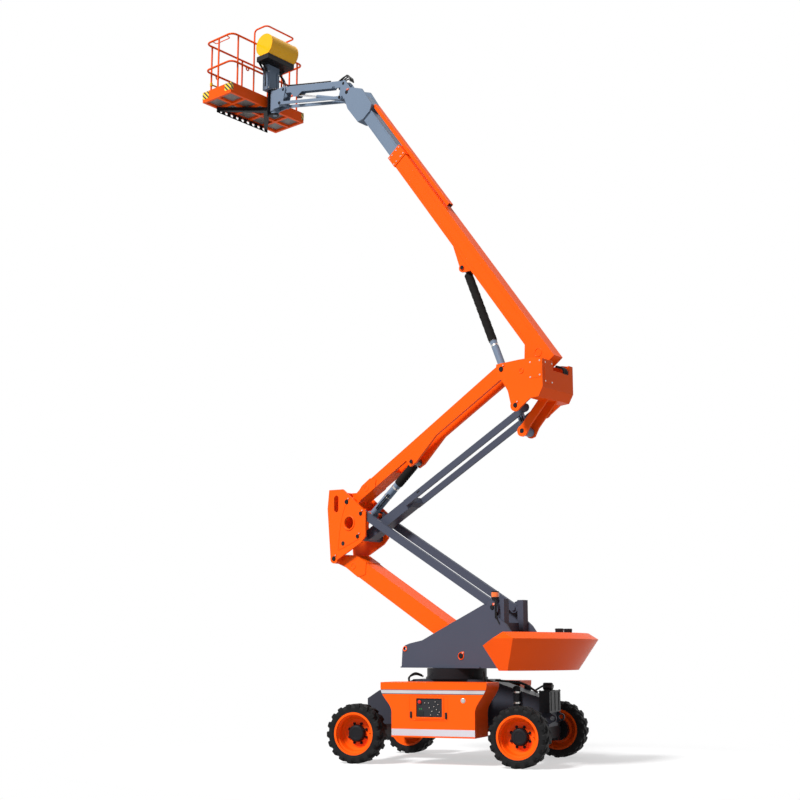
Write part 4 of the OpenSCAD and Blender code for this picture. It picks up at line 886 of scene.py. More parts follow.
@dataclass
class Chassis:
    """The chassis' trim: bands, tape, doors, ground panel and the gear at the steered end."""

    face_y: float = 1.150
    end_x: tuple = (-0.603, 0.655)
    end_reach: tuple = (-0.172, 0.177)
    end_rise: tuple = (0.340, 0.390)
    waist_z: float = 0.730
    band_z: tuple = BROW_Z
    band_inset: float = 0.001
    tape_z: tuple = (0.408, 0.500)
    tape_x: tuple = (-0.602, 0.654)
    door_x: tuple = (-0.335, 0.255)
    door_z: tuple = (0.618, 0.968)
    window_x: tuple = (-0.225, 0.173)
    window_z: tuple = (0.665, 0.932)
    latch_at: tuple = ((-0.302, 0.700), (0.228, 0.692))
    lock_at: tuple = (0.483, 0.902)
    panel_depth: float = 0.012
    toggles: tuple = ((0.13, 0.20), (0.19, 0.20), (0.29, 0.215), (0.33, 0.18), (0.27, 0.15), (0.20, 0.135),
                      (0.31, 0.11), (0.24, 0.085), (0.35, 0.075), (0.33, 0.04), (0.22, 0.035))
    drive_runs: tuple = (
        ((1.30, -0.20, 1.00), (1.10, -0.245, 1.12), (0.85, -0.25, 1.155), (0.70, -0.20, 1.165)),
        ((1.30, -0.16, 1.00), (1.08, -0.20, 1.13), (0.82, -0.21, 1.16), (0.66, -0.16, 1.17)),
        ((1.44, 0.10, 1.03), (1.44, 0.14, 1.10), (1.30, 0.18, 1.09), (1.16, 0.20, 1.02)))
    ring_post: tuple = ((0.56, -0.42, 1.14), (0.565, -0.42, 1.24), (0.56, -0.42, 1.30))
    ring_runs: tuple = (
        ((-0.62, -0.40, 1.14), (-0.60, -0.42, 1.22), (-0.52, -0.40, 1.27), (-0.44, -0.33, 1.24)),
        ((-0.66, -0.30, 1.14), (-0.64, -0.34, 1.21), (-0.54, -0.32, 1.25), (-0.44, -0.27, 1.22)))

    def build(self) -> None:
        """Make all trim pieces."""
        for side, tag in zip(SIDES, ("near", "far")):
            self.cover_trim(side, tag)
        self.ground_panel()
        self.steer_gear()
        self.ring_bolts()

    def flat(self, side: int) -> Basis:
        """The cover's outer face seen from outside: x along the chassis, y up, z outwards."""
        return Basis((0, side * self.face_y, 0), (-side, 0, 0), (0, 0, 1), (0, side, 0))

    def cover_end(self, z: np.ndarray, right: int) -> np.ndarray:
        """Where a cover ends at a height: waist + reach * (1 - cos(pi * rise)) / 2."""
        rise = np.clip((z - self.waist_z) / self.end_rise[right], 0, 1)
        return self.end_x[right] + self.end_reach[right] * (1 - np.cos(np.pi * rise)) / 2

    def cover_trim(self, side: int, tag: str) -> None:
        """Bands, tape, door line, latches and lock of one cover.

        Args:
            side: -1 for the near cover, 1 for the far one.
            tag: word in the pieces' names.
        """
        b = self.flat(side)
        m = -side

        def span(limits: tuple) -> list:
            """Limits along the chassis as they run on this side."""
            return sorted(m * x for x in limits)

        z = np.linspace(*self.band_z, 7)
        right = np.column_stack([self.cover_end(z, 1) - self.band_inset, z])
        left = np.column_stack([self.cover_end(z, 0) + self.band_inset, z])
        band = (np.vstack([right, left[::-1]]) * [m, 1])[::m]
        piece(f"brow_band_{tag}", b.put(prism(band, -0.002, 0.0025)), Finish.BAND, "chassis")
        tape = slab(*span(self.tape_x), *self.tape_z, -0.002, 0.0015)
        piece(f"marking_tape_{tag}", b.put(tape), Finish.TAPE, "chassis")
        edges = [border((*span(self.door_x), *self.door_z), (0.0, -0.007), (0.018, 0.012), -0.002, 0.003)]
        if side < 0:
            x0, x1 = self.window_x
            edges.append(border((x0, x1, *self.window_z), (0.022, -0.004), (0.02, 0.01), -0.012, 0.008))
            edges.append(plate(x0 - 0.03, x1 + 0.03, 0.622, 0.634, 0.005, -0.002, 0.006))
        piece(f"door_edges_{tag}", b.put(*edges), Finish.ORANGE, "chassis", bevel=0.0015)
        latch = join([pad(0.015, 0.045, 0.008, -0.002, 0.012),
                      plate(-0.009, 0.009, -0.03, 0.02, 0.005, 0.011, 0.018)])
        piece(f"latches_{tag}", b.stamp(latch, *[(m * x, z, 0) for x, z in self.latch_at]), Finish.PLASTIC,
              "chassis", bevel=0.002)
        lock = b.top(m * self.lock_at[0], self.lock_at[1], 0)
        piece(f"key_switch_{tag}", lock.put(button(0.026, 0.012), ring_rib(0.030, 0.012, 0.006)), Finish.BOLT,
              "chassis")

    def ground_panel(self) -> None:
        """The control face behind the window: keys, dials and a stop button."""
        b = self.flat(-1).top(self.window_x[0], self.window_z[0], -self.panel_depth)
        w, h = (high - low for low, high in (self.window_x, self.window_z))
        face = plate(0.006, w - 0.006, 0.006, h - 0.006, 0.012, -0.002, 0.004)
        piece("panel_face", b.put(face), Finish.SCREEN, "chassis", bevel=0.001)
        stop = revolve([(0.014, 0), (0.014, 0.012), (0.026, 0.013), (0.026, 0.02), (0.018, 0.026)], 28)
        screen = pad(0.045, 0.03, 0.006, 0, 0.005)
        knobs = [(x, z, 0.004) for x, z in self.toggles]
        collars = [(x, z, 0.003) for x, z in self.toggles]
        lamps = [(0.05, 0.115, 0.004), (0.078, 0.115, 0.004)]
        piece("panel_stop", b.stamp(stop, (0.055, h - 0.055, 0.004)), Finish.RED, "chassis")
        piece("panel_toggles", b.stamp(button(0.0075, 0.016), *knobs), Finish.BOLT, "chassis")
        piece("panel_collars", b.stamp(button(0.015, 0.006), *collars), Finish.PLASTIC, "chassis")
        piece("panel_lamps", b.stamp(button(0.008, 0.006), *lamps), Finish.GREEN, "chassis")
        piece("panel_screen", b.stamp(screen, (0.07, 0.055, 0.004)), Finish.PLASTIC, "chassis", bevel=0.001)

    def steer_gear(self) -> None:
        """The valve box's lid and screws, the oil pots' clamps and the pipes on the frame's steered end."""
        lid = [plate(1.352, 1.522, -0.328, 0.308, 0.02, 1.008, 1.026)]
        lid += GROUND.stamp(button(0.012, 0.008), *product((1.372, 1.502), (-0.308, -0.01, 0.288), (1.026,)))
        rib = slab(1.513, 1.5215, -0.012, 0.012, 0.74, 1.008)
        lid += GROUND.stamp(rib, (0, -0.22, 0), (0, -0.01, 0), (0, 0.20, 0))
        piece("valve_lid", lid, Finish.BLACK, "chassis", bevel=0.003)
        clamp = revolve([(0.050, 0.0), (0.0555, 0.002), (0.0555, 0.026), (0.050, 0.028)], 32)
        clamps = GROUND.stamp(clamp, *product((1.0185,), (-0.288, 0.288), (0.84, 0.99)))
        piece("pot_clamps", clamps, Finish.BOLT, "chassis")
        motor = revolve([(0.05, 0), (0.055, 0.01), (0.055, 0.12), (0.045, 0.135)], 28)
        foot = slab(1.38, 1.50, -0.14, -0.06, 1.020, 1.045)
        pump = [GROUND.end(1.37, -0.10, 1.085).put(motor), foot]
        piece("pump_motor", pump, Finish.PLASTIC, "chassis", bevel=0.002)
        hoses = [GROUND.hose(run, 0.014, 10) for run in self.drive_runs]
        piece("drive_hoses", hoses, Finish.HOSE, "chassis")

    def ring_bolts(self) -> None:
        """Bolt heads on the slew ring's foot and its grease pipes."""
        lip = revolve([(0.455, 1.178), (0.468, 1.182), (0.468, 1.212), (0.455, 1.216)], 72)
        heads = GROUND.stamp(hexagon(0.014, 0.012), *circle(0.425, 1.18, 36))
        piece("ring_bolts", [lip] + heads, Finish.BLACK, "chassis", smooth=30)
        hoses = [GROUND.hose(self.ring_post, 0.016, 10, 4)]
        hoses += [GROUND.hose(run, 0.013, 10) for run in self.ring_runs]
        piece("ring_hoses", hoses, Finish.HOSE, "chassis")


@dataclass
class Pins:
    """Pin heads with keeper plates and bolts; rows of body, place, half span, radius and keeper's offset."""

    tall: float = 0.014
    low: float = 0.006
    inner_v: float = 0.2
    heads: tuple = (
        ("turntable", (0.929, 2.217), 0.340, 0.034, 0.060), ("turntable", LOWER_PIN, 0.340, 0.036, 0.062),
        ("mid_bracket", BRACKET_PIN, 0.292, 0.038, 0.066),
        ("mid_bracket", RISER_PINS[0], 0.292, 0.032, 0.060),
        ("mid_bracket", MID_PIN, 0.292, 0.038, 0.066), ("mid_bracket", LINK_PIN, 0.292, 0.032, 0.060),
        ("upper_bracket", UPPER_PIN, 0.405, 0.038, 0.066),
        ("upper_bracket", (1.4462, 5.1435), 0.405, 0.034, 0.062),
        ("upper_bracket", LIFT_PINS[0], 0.130, 0.036, 0.0),
        ("base_boom", LIFT_PINS[1], 0.116, 0.034, 0.0), ("mid_boom", RISER_PINS[1], 0.142, 0.032, 0.0),
        ("fly", (-2.2613, 11.250), 0.125, 0.034, 0.058), ("nose", JIB_PIN, 0.085, 0.026, 0.0),
        ("nose", JIB_PINS[0], 0.127, 0.026, 0.0), ("jib_head", (-3.9019, 11.7988), 0.085, 0.026, 0.0),
        ("jib_head", (-3.9589, 11.5388), 0.127, 0.026, 0.0))

    def build(self) -> None:
        """Make the black heads, the keepers and their bolts for every body."""
        keeper = pad(0.024, 0.016, 0.008, -SUNK, 0.008)
        for body in sorted({row[0] for row in self.heads}):
            heads, keepers, bolts = [], [], []
            for _, (u, z), v, r, off in (row for row in self.heads if row[0] == body):
                heads += UPPER.flank(button(r, self.tall if v > self.inner_v else self.low), v, (u, z))
                spots = [UPPER.face(u, side * v, z, side).top(off * 0.55, off * 0.75, 0) for side in SIDES]
                for spot in spots if off else []:
                    keepers.append(spot.put(keeper))
                    bolts += spot.stamp(hexagon(0.011, 0.008), (0.008, 0, 0.008))
            piece(f"pin_heads_{body}", heads, Finish.BLACK, body, smooth=30)
            if keepers:
                piece(f"pin_keepers_{body}", keepers, Finish.ORANGE, body, bevel=0.0015)
                piece(f"pin_bolts_{body}", bolts, Finish.BOLT, body)


@dataclass
class Turntable:
    """Trim of the turntable and counterweight."""

    plate_v: float = 0.340
    beacon: tuple = (0.970, -0.320, 2.364)
    cable: tuple = ((1.005, -0.355, 2.33), (1.03, -0.375, 2.22), (1.02, -0.365, 2.08), (1.06, -0.352, 1.98))

    def build(self) -> None:
        """Make the rings round eyes and pins, the caps' rims, the beacon's lens and its stand."""
        rings = UPPER.flank(ring_rib(0.034, 0.016, 0.010), self.plate_v, (-0.738, 1.628))
        rings += UPPER.flank(ring_rib(0.050, 0.012, 0.010), self.plate_v, LOWER_PIN)
        piece("eye_rings", rings, Finish.ORANGE, "turntable")
        rim = revolve([(0.059, 0.036), (0.063, 0.038), (0.063, 0.058), (0.055, 0.064)], 32)
        rims = UPPER.stamp(rim, (1.66, 0.30, 1.850), (1.66, 0.525, 1.850))
        piece("cap_rims", rims, Finish.PLASTIC, "turntable")
        lens = revolve([(0.0565, 0), (0.0565, 0.062), (0.053, 0.076), (0.044, 0.086)], 40)
        piece("beacon_lens", UPPER.stamp(lens, self.beacon), Finish.AMBER, "turntable")
        stand = slab(0.985, 1.0, -0.36, -0.28, 2.06, 2.335)
        piece("beacon_stand", UPPER.put(stand), Finish.BLACK, "turntable", bevel=0.002)
        piece("beacon_cable", UPPER.hose(self.cable, 0.009), Finish.HOSE, "turntable")


@dataclass
class Booms:
    """Embossed plugs, stiffening strips, bolts and pipes along the riser and main booms."""

    lower: Basis = member(LOWER_PIN, 30.5, True)
    mid: Basis = member(MID_PIN, MID_RISE, False)
    link: Basis = member(LINK_PIN, MID_RISE, False)
    main: Basis = member(MAIN_PIN, MAIN_DEGREES, True)
    lower_len: float = 3.069
    upper_v: float = 0.405
    bracket_v: float = 0.292
    rib_lines: tuple = (((0.245, 0.86), (0.17, 0.66), (0.12, 0.40), (0.09, 0.14)),
                        ((0.10, 0.13), (0.34, 0.215), (0.545, 0.29)))
    upper_run: tuple = ((0.60, 0, 0.05), (0.70, 0, 0.01), (0.735, 0.01, -0.05), (0.68, 0.02, -0.14),
                        (0.60, 0.03, -0.22))

    def build(self) -> None:
        """Make all the boom trim."""
        self.plugs()
        self.upper_trim()
        self.bracket_trim()
        self.main_trim()

    def plugs(self) -> None:
        """Raised rings where the booms' collars are plugged, and dark pads of painted shade where the link
        has slot openings.
        """
        for name, b, v, spot, body, r in (
                ("lower_plugs", self.lower, 0.174, (0.345 - self.lower_len, 0.055), "lower_boom", 0.045),
                ("mid_plugs", self.mid, 0.137, (0.355, 0.050), "mid_boom", 0.045),
                ("base_plugs", self.main, 0.118, (-0.060, 0.350), "base_boom", 0.062)):
            piece(name, b.flank(ring_rib(r, 0.014, 0.006), v, spot), Finish.ORANGE, body)
        # The dark pads on the link's flanks are painted shade that stands for its slot openings.
        slot_shade = self.link.flank(pad(0.035, 0.011, 0.010, -SUNK, 0.002), 0.170, (1.33, 0.010))
        piece("link_slot_shade", slot_shade, Finish.PLASTIC, "mid_link")

    def upper_trim(self) -> None:
        """Cover plates, bolts and hoses on the upper level bracket."""
        at = UPPER.top(UPPER_PIN[0], 0, UPPER_PIN[1])
        rear = at.end(0.736, 0, 0)
        plates = at.flank(ring_rib(0.036, 0.012, 0.008), self.upper_v, (0.368, -0.075))
        plates += at.flank(pad(0.108, 0.135, 0.02, -SUNK, 0.004), self.upper_v, (0.612, -0.078))
        plates.append(rear.put(plate(-0.350, -0.150, -0.285, 0.030, 0.015, -SUNK, 0.005)))
        bolts = at.flank(button(0.013, 0.008), self.upper_v, (0.526, 0.030), (0.693, 0.035), (0.526, -0.195),
                         (0.693, -0.180))
        bolts += rear.stamp(button(0.012, 0.007), *product((-0.335, -0.165), (-0.268, 0.012), (0.004,)))
        piece("upper_cover_plates", plates, Finish.ORANGE, "upper_bracket", bevel=0.0015)
        piece("upper_cover_bolts", bolts, Finish.BOLT, "upper_bracket")
        hoses = [at.hose(np.array(self.upper_run) + [0, v, 0], 0.017, 10) for v in (0.16, 0.20, 0.24)]
        piece("upper_hoses", hoses, Finish.HOSE, "upper_bracket")

    def bracket_trim(self) -> None:
        """Ribs, a rim round the window and dark discs on the mid level bracket."""
        at = UPPER.top(BRACKET_PIN[0], 0, BRACKET_PIN[1])
        ribs = [at.hose([(u, side * self.bracket_v, z) for u, z in line], 0.006)
                for line in self.rib_lines for side in SIDES]
        ribs += at.flank(ring_rib(0.112, 0.032, 0.014), self.bracket_v, (0.330, 0.560))
        piece("mid_bracket_ribs", ribs, Finish.ORANGE, "mid_bracket")
        dark = at.flank(button(0.036, 0.004), self.bracket_v, (0.200, 0.235))
        piece("mid_bracket_shadows", dark, Finish.PLASTIC, "mid_bracket")

    def main_trim(self) -> None:
        """Strips on the base boom, bolts on its collar, tray hoses and weld lines on the fly boom."""
        b = self.main
        strips = b.flank(pad(2.05, 0.003, 0.003, -SUNK, 0.003), 0.118, (-2.5, 0.303), (-2.5, 0.455))
        bolts = b.flank(hexagon(0.012, 0.009), 0.130, *product((-4.85, -4.69), (0.262, 0.33, 0.44, 0.512)))
        welds = [b.hose([(x, v, z) for x in (-5.98, -5.4, -4.92)], 0.004, steps=1)
                 for v, z in product((-0.1005, 0.1005), (0.300, 0.474))]
        tray = [b.hose([(x, v, 0.572) for x in (-5.985, -4.5, -3.28)], 0.013, steps=1)
                for v in (-0.03, 0.0, 0.03)]
        piece("base_boom_strips", strips, Finish.ORANGE, "base_boom")
        piece("collar_bolts", bolts, Finish.BOLT, "base_boom")
        piece("fly_welds", welds, Finish.STEEL_BLUE, "fly")
        piece("tray_hoses", tray, Finish.HOSE, "fly")


@dataclass
class Cylinder:
    """Rod sleeve, pipes and bands of a lifting cylinder.

    The barrel's length and the pipes' end (clear) are measured from the foot pin, the eye from the head pin.
    """

    tag: str
    pins: tuple
    length: float
    radius: float
    sleeve_radius: float
    eye: float
    clear: float
    pipe_turns: tuple = (52.0, 78.0)
    rings: int = 90
    around: int = 48

    def sleeve(self, b: Basis, start: float, stop: float) -> Shape:
        """A gathered sleeve: least radius + folds, as a function of angle and of length along the rod.

        Args:
            b: the cylinder's basis.
            start: where the sleeve begins.
            stop: where it ends.
        Returns:
            The tube.
        """
        t = np.linspace(0, 2 * np.pi, self.around, endpoint=False)[None, :]
        s = np.linspace(0, 1, self.rings)[:, None]
        folds = 0.0022 * np.sin(60 * s + 2.2 * np.sin(2 * t))
        folds = folds + 0.0016 * np.sin(151 * s + 1.7 * np.sin(3 * t + 1))
        r = self.sleeve_radius + 0.0042 + folds * np.sin(np.pi * s) ** 0.3
        r[[0, -1], :] = self.sleeve_radius - 0.002
        far = np.broadcast_to(start + s * (stop - start), r.shape)
        verts = np.stack([r * np.cos(t), r * np.sin(t), far], -1)
        return b.put(Shape(verts.reshape(-1, 3), grid(self.rings, self.around, False)))

    def band(self, rise: float, width: float) -> Shape:
        """A ring that stands out from the barrel by a rise."""
        inner, outer = self.radius - 0.002, self.radius + rise
        return revolve([(inner, 0), (outer, 0.001), (outer, width), (inner, width + 0.001)], 40, True)

    def build(self) -> None:
        """Make the sleeve on the rod, and the pipes and bands on the barrel."""
        foot, head = (np.array(UPPER.at(u, 0, z)) for u, z in self.pins)
        total = float(np.linalg.norm(head - foot))
        axis = (head - foot) / total
        across = np.cross(axis, V_AXIS)
        b = Basis(tuple(foot), tuple(V_AXIS), tuple(across), tuple(axis))
        tube = self.sleeve(b, self.length - 0.042, total - self.eye + 0.004)
        piece(f"{self.tag}_sleeve", tube, Finish.SLEEVE, f"{self.tag}_rod", smooth=60)
        out = math.copysign(1.0, across @ U_AXIS)
        pipes = []
        for turn in map(math.radians, self.pipe_turns):
            way = np.array([-math.sin(turn), out * math.cos(turn), 0.0])
            stops = ((0.16, 0.5), (0.26, 1.0), (self.clear - 0.12, 1.0), (self.clear, 0.6))
            line = [way * (self.radius + 0.016 * lift) + Z_AXIS * far for far, lift in stops]
            pipes.append(b.hose(line, 0.009, steps=6))
        piece(f"{self.tag}_pipes", pipes, Finish.BLACK, f"{self.tag}_barrel")
        bands = b.stamp(self.band(0.0004, 0.03), (0, 0, self.length - 0.135))
        bands += b.stamp(self.band(0.004, 0.02), (0, 0, self.clear - 0.08))
        piece(f"{self.tag}_bands", bands, Finish.BOLT, f"{self.tag}_barrel")


@dataclass
class Jib:
    """Hoses and clips at the boom's nose and along the jib."""

    rises: tuple = ((-0.045, 0.14), (-0.015, 0.17), (0.02, 0.15), (0.045, 0.12))
    arm_run: tuple = ((-0.36, 0.074), (-0.8, 0.074), (-1.2, 0.076), (-1.5, 0.08))

    def build(self) -> None:
        """Make the loops at the nose, the runs along the arm and their clips."""
        nose = UPPER.top(JIB_PIN[0], 0, JIB_PIN[1])
        loops = [nose.hose([(0.13, v, 0.02), (0.10, v, 0.10), (0.02, v, rise), (-0.10, v, 0.11),
                            (-0.20, v, 0.07), (-0.30, v, 0.085)], 0.012) for v, rise in self.rises]
        piece("nose_hoses", loops, Finish.HOSE, "nose")
        arm = member(JIB_PIN, 12.4, True)
        runs = [arm.hose([(x, v, z) for x, z in self.arm_run], 0.011) for v in (-0.055, 0.0, 0.055)]
        piece("jib_hoses", runs, Finish.HOSE, "jib_arm")
        clips = arm.stamp(slab(-0.012, 0.012, -0.07, 0.07, 0.0, 0.014), (-0.10, 0, 0.060), (-1.46, 0, 0.060))
        piece("jib_clips", clips, Finish.BLACK, "jib_arm", bevel=0.002)


@dataclass
class Platform:
    """The platform's hand bar, hoop legs, tabs, stripes, floor mesh, controls and lamp."""

    rot_u: float = -4.1919
    gap: float = 0.190
    depth: float = 0.770
    length: float = 1.880
    floor_z: float = 11.600
    tube: float = 0.050
    rail: float = 0.024
    rail_z: float = 12.781
    mid_z: float = 12.240
    tower_top: float = 12.485
    cover_r: float = 0.215
    stripe: tuple = ((-0.17, 0.0025), (0.0025, 0.0025), (0.0025, -0.06), (-0.0005, -0.06), (-0.0005, -0.0005),
                     (-0.17, -0.0005))
    bar: tuple = ((0.17, 0.004, 0), (0.17, 0.07, -0.01), (0.20, 0.10, -0.012), (0.36, 0.10, -0.012),
                  (0.52, 0.10, -0.012), (0.55, 0.07, -0.01), (0.55, 0.004, 0))

    @property
    def u1(self) -> float:
        """The floor's edge at the tower."""
        return self.rot_u - self.gap

    @property
    def u0(self) -> float:
        """The floor's far edge."""
        return self.u1 - self.depth

    def build(self) -> None:
        """Make all platform pieces."""
        self.guard()
        self.floor()
        self.stripes()
        self.controls()
        self.lamp()

    def guard(self) -> None:
        """The inner hand bar, the hoop's legs and the lanyard tabs."""
        near, far = self.u1 - self.rail, self.u0 + self.rail
        bar = UPPER.top(far, -0.916, self.rail_z).hose(self.bar, 0.009, 10, 6)
        piece("hand_bar", bar, Finish.ORANGE, "platform")
        heights = (self.floor_z + 0.055, self.mid_z, self.rail_z)
        legs = [UPPER.hose([(near, v, z) for z in heights], 0.016, 12, 1) for v in (-0.36, 0.36)]
        piece("hoop_legs", legs, Finish.ORANGE, "platform")
        t = np.linspace(np.pi, 2 * np.pi, 13)
        arc = np.column_stack([0.042 * np.cos(t), 0.042 * np.sin(t) - 0.02])
        lobe = np.vstack([arc, [[0.055, 0.01], [-0.055, 0.01]]])
        hole = circle(0.02, 0.0, len(lobe), np.pi)[:, :2] - [0, 0.022]
        tab = frame_of(lobe, hole, -0.005, 0.005)
        spots = ((near, -0.52), (near, 0.55), (far, 0.45), (far, -0.62))
        tabs = [UPPER.end(u, v, self.mid_z - 0.016).put(tab) for u, v in spots]
        piece("lanyard_tabs", tabs, Finish.ORANGE, "platform", bevel=0.001)

    def floor(self) -> None:
        """Mesh panels in the floor's frame, and the mesh over it."""
        b = UPPER.top(self.u0, -self.length / 2, self.floor_z)
        su = (self.depth - self.tube) / 2
        sv = (self.length - self.tube) / 5
        panel = slab(self.tube - 0.002, su + 0.002, self.tube - 0.002, sv + 0.002, 0.040, 0.0445)
        panels = b.stamp(panel, *[(i * su, j * sv, 0) for i, j in product(range(2), range(5))])
        top = slab(0.008, self.depth - 0.008, 0.008, self.length - 0.008, 0.0495, 0.0535)
        piece("floor_mesh", panels + [b.put(top)], Finish.MESH, "platform")

    def stripes(self) -> None:
        """Hazard bars that wrap the kick plate's corners: an L-shaped strip carried up by its height."""
        strips = []
        for (su, u), sv in product(((-1, self.u0), (1, self.u1)), SIDES):
            out = np.array(self.stripe) * [su, sv] + [u, sv * self.length / 2]
            strips.append(UPPER.put(prism(out[::-su * sv], self.floor_z + 0.056, self.floor_z + 0.196)))
        piece("hazard_corners", strips, Finish.HAZARD, "platform")

    def controls(self) -> None:
        """Cover straps, control box, tower ribs, cables and the rotator's bolts."""
        b = UPPER.top(self.u1, 0, 0)
        r = self.cover_r
        roll = b.face(r + 0.005, 0, self.tower_top + r - 0.025, 1)
        hem = revolve([(r - 0.002, -0.006), (r + 0.003, -0.004), (r + 0.003, 0.004), (r - 0.002, 0.006)], 56)
        piece("cover_hems", roll.stamp(hem, (0, 0, -0.330), (0, 0, 0.330)), Finish.YELLOW, "platform")
        low = self.tower_top - 0.095
        tray = [b.put(slab(0.02, 0.33, -0.338, 0.338, low, self.tower_top + 0.004))]
        leg = np.array([(0.148, low - 0.17), (0.33, low + 0.02), (0.26, low + 0.02), (0.148, low - 0.10)])
        tray += [b.end(u, 0, 0).put(prism(outline, 0.0, 0.012))
                 for u, outline in product((0.03, 0.105), (leg, (leg * [-1, 1])[::-1]))]
        piece("control_tray", tray, Finish.PLASTIC, "platform", bevel=0.004)
        ribs = b.stamp(slab(0.128, 0.140, -0.02, 0.02, 11.93, 12.29), (0, -0.10, 0), (0, 0.10, 0))
        piece("tower_ribs", ribs, Finish.STEEL_BLUE, "platform", bevel=0.003)
        bolts = b.end(0.130, 0, 0).stamp(hexagon(0.012, 0.01), *product((-0.13, 0.13), (11.93, 12.25), (0,)))
        piece("tower_bolts", bolts, Finish.BOLT, "platform")
        cables = [b.hose([(0.09, v, 12.30), (0.15, v * 1.25, 12.18), (0.17, v * 1.3, 12.02),
                          (0.12, v * 1.05, 11.93)], 0.013) for v in (-0.19, 0.18, 0.215)]
        piece("tower_cables", cables, Finish.HOSE, "platform")
        heads = UPPER.top(self.rot_u, 0, 0).stamp(hexagon(0.011, 0.01), *circle(0.056, 11.895, 8))
        piece("rotator_bolts", heads, Finish.BOLT, "platform")

    def lamp(self) -> None:
        """The work lamp's faces and fins."""
        b = UPPER.top(self.u1 - self.rail, 0.52, self.rail_z + 0.089)
        pane = pad(0.038, 0.040, 0.01, -SUNK, 0.006)
        panes = [b.end(side * 0.030, 0, 0.0475, side).put(pane) for side in SIDES]
        piece("lamp_face", panes, Finish.CLEAR, "platform", bevel=0.001)
        fin = slab(-0.028, 0.028, -0.047, 0.047, 0.012, 0.018)
        piece("lamp_fins", b.stamp(fin, *[(0, 0, 0.018 * i) for i in range(5)]), Finish.BLACK, "platform")


NODE_FINISH = {
    Finish.ORANGE: "cover_near cover_far rim_fixed_near rim_fixed_far rim_steer_near rim_steer_far "
                   "lower_boom mid_bracket mid_boom upper_bracket cable_tray platform_floor platform_rails",
    Finish.CAST: "counterweight",
    Finish.COLLARED: "base_boom",
    Finish.FRAME_GREY: "chassis_frame",
    Finish.GREY: "engine_block turntable tie_rods mid_link",
    Finish.STEEL_BLUE: "riser_barrel lift_barrel fly_boom fly_head nose_bracket jib_arm jib_links jib_barrel "
                       "jib_head platform_tower",
    Finish.BLACK: "axle_fixed axle_steer slew_ring knuckle_near knuckle_far platform_support work_lamp "
                  "beacon",
    Finish.PLASTIC: "ground_panel",
    Finish.YELLOW: "entry_bar control_cover",
    Finish.RISER_ROD: "riser_rod",
    Finish.LIFT_ROD: "lift_rod",
    Finish.JIB_ROD: "jib_rod",
    Finish.TYRE: "tyre_fixed_near tyre_fixed_far tyre_steer_near tyre_steer_far",
}


def paint_nodes() -> None:
    """Give every CAD node its finish."""
    for finish, names in NODE_FINISH.items():
        for name in names.split():
            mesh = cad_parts[name].data
            mesh.materials.clear()
            mesh.materials.append(finish.material())
            log.info("node %s: %s", name, finish.name)


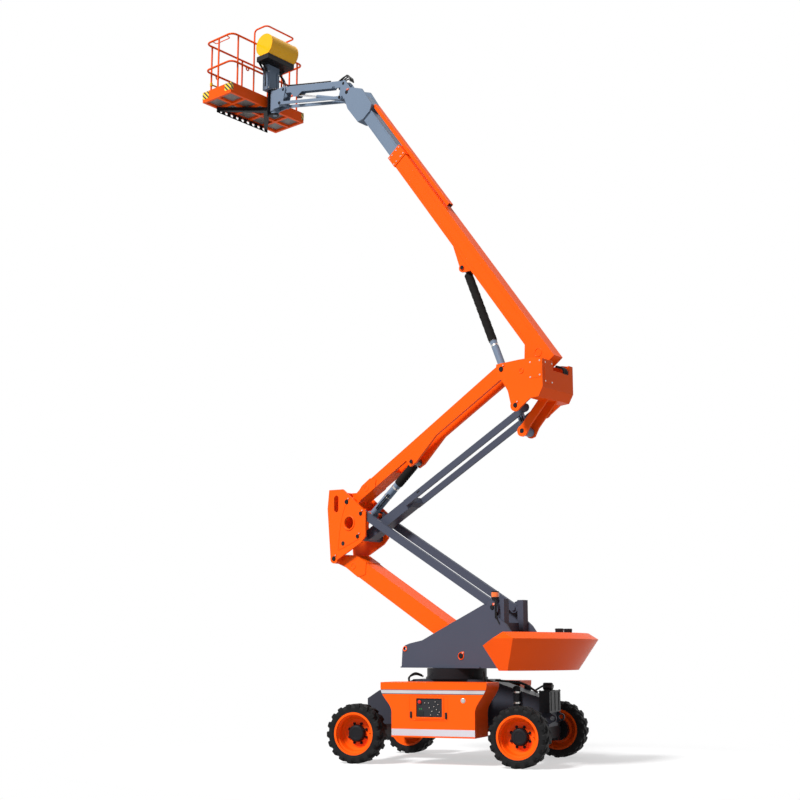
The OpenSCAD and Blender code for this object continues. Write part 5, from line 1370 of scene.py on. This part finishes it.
@dataclass
class Studio:
    """Camera, lights, floor and backdrop."""

    lens: float = 58.64
    sensor: float = 36.0
    sight: float = 200.0
    eye: tuple = (6.541, -19.005, 1.542)
    forward: tuple = (-0.35879, 0.91353, 0.19168)
    sun: float = 4.6
    sun_way: tuple = (0.34, 0.68, -0.76)
    sun_angle: float = math.radians(14)
    sky: float = 0.24
    sky_color: tuple = (0.93, 0.96, 1.0, 1.0)
    pale: float = 0.93
    dulled: float = 0.5
    half_floor: float = 60.0
    fade: tuple = (1.6, 6.0)
    least_white: float = 0.55

    def build(self) -> None:
        """Set up the picture."""
        scene = bpy.context.scene
        scene.view_settings.view_transform = "Standard"
        data = bpy.data.cameras.new("camera")
        data.lens = self.lens
        data.sensor_width = self.sensor
        data.clip_end = self.sight
        scene.camera = self.aim(bpy.data.objects.new("camera", data), self.forward)
        scene.camera.location = self.eye
        light = bpy.data.lights.new("key", "SUN")
        light.energy = self.sun
        light.angle = self.sun_angle
        self.aim(bpy.data.objects.new("key", light), self.sun_way)
        self.sky_light(scene)
        self.floor()

    def aim(self, made: bpy.types.Object, way: tuple) -> bpy.types.Object:
        """Put an object in the scene, looking along a direction."""
        made.rotation_euler = Vector(way).to_track_quat("-Z", "Y").to_euler()
        bpy.context.scene.collection.objects.link(made)
        return made

    def sky_light(self, scene: bpy.types.Scene) -> None:
        """A soft white sky that is plain white to the camera."""
        scene.world = bpy.data.worlds.new("sky")
        scene.world.use_nodes = True
        s = Nodes(scene.world.node_tree, "ShaderNodeOutputWorld")
        seen = s.node("ShaderNodeLightPath", out=SEEN[0])
        for name in SEEN[1:]:
            seen = seen.most(s.node("ShaderNodeLightPath", out=name))
        soft = s.node("ShaderNodeBackground", {}, {0: self.sky_color, 1: self.sky})
        plain = s.node("ShaderNodeBackground", {}, {0: WHITE})
        s.put(s.surface, s.node("ShaderNodeMixShader", {}, {0: seen, 1: soft, 2: plain}))

    def floor(self) -> None:
        """A pale floor that fades to white away from the machine and throws little light back up."""
        s = Shader("floor")
        away = s.node("ShaderNodeVectorMath", {"operation": "LENGTH"}, {0: s.place()}, 1)
        seen: Any = 0.0
        for name in SEEN:
            seen = seen + s.node("ShaderNodeLightPath", out=name)
        fade = (away.step(*self.fade) * (1 - self.least_white) + self.least_white) * seen
        white = s.node("ShaderNodeEmission", {}, {"Color": WHITE, "Strength": 1.0})
        lit = Wire(s, s.body.outputs[0])
        s.put(s.surface, s.node("ShaderNodeMixShader", {}, {0: fade, 1: lit, 2: white}))
        bounce = s.node("ShaderNodeLightPath", out="Is Diffuse Ray")
        s.finish(Base_Color=bounce * -self.dulled + self.pale, Roughness=0.9)
        mesh = bpy.data.meshes.new("floor")
        half = self.half_floor
        corners = [(-half, -half, 0), (half, -half, 0), (half, half, 0), (-half, half, 0)]
        mesh.from_pydata(corners, [], [(0, 1, 2, 3)])
        mesh.materials.append(s.material)
        ground = bpy.data.objects.new("floor", mesh)
        bpy.context.scene.collection.objects.link(ground)


def main() -> None:
    """Build every sub-assembly in order and note the sizes."""
    logging.basicConfig(level=logging.INFO, format="%(name)s: %(message)s")
    Studio().build()
    paint_nodes()
    axles = (("fixed", -1.1625), ("steer", 1.2885))
    for (axle, x), (tag, side) in product(axles, (("near", -1), ("far", 1))):
        Wheel(f"{axle}_{tag}", x, side, f"wheel_{axle}_{tag}").build()
    lift = Cylinder("lift", LIFT_PINS, 1.640, 0.058, 0.064, 0.110, 1.040)
    riser = Cylinder("riser", RISER_PINS, 0.760, 0.062, 0.068, 0.070, 0.500)
    for part in (Chassis(), Turntable(), Booms(), lift, riser, Jib(), Platform(), Pins()):
        part.build()
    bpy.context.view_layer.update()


if __name__ == "__main__":
    main()
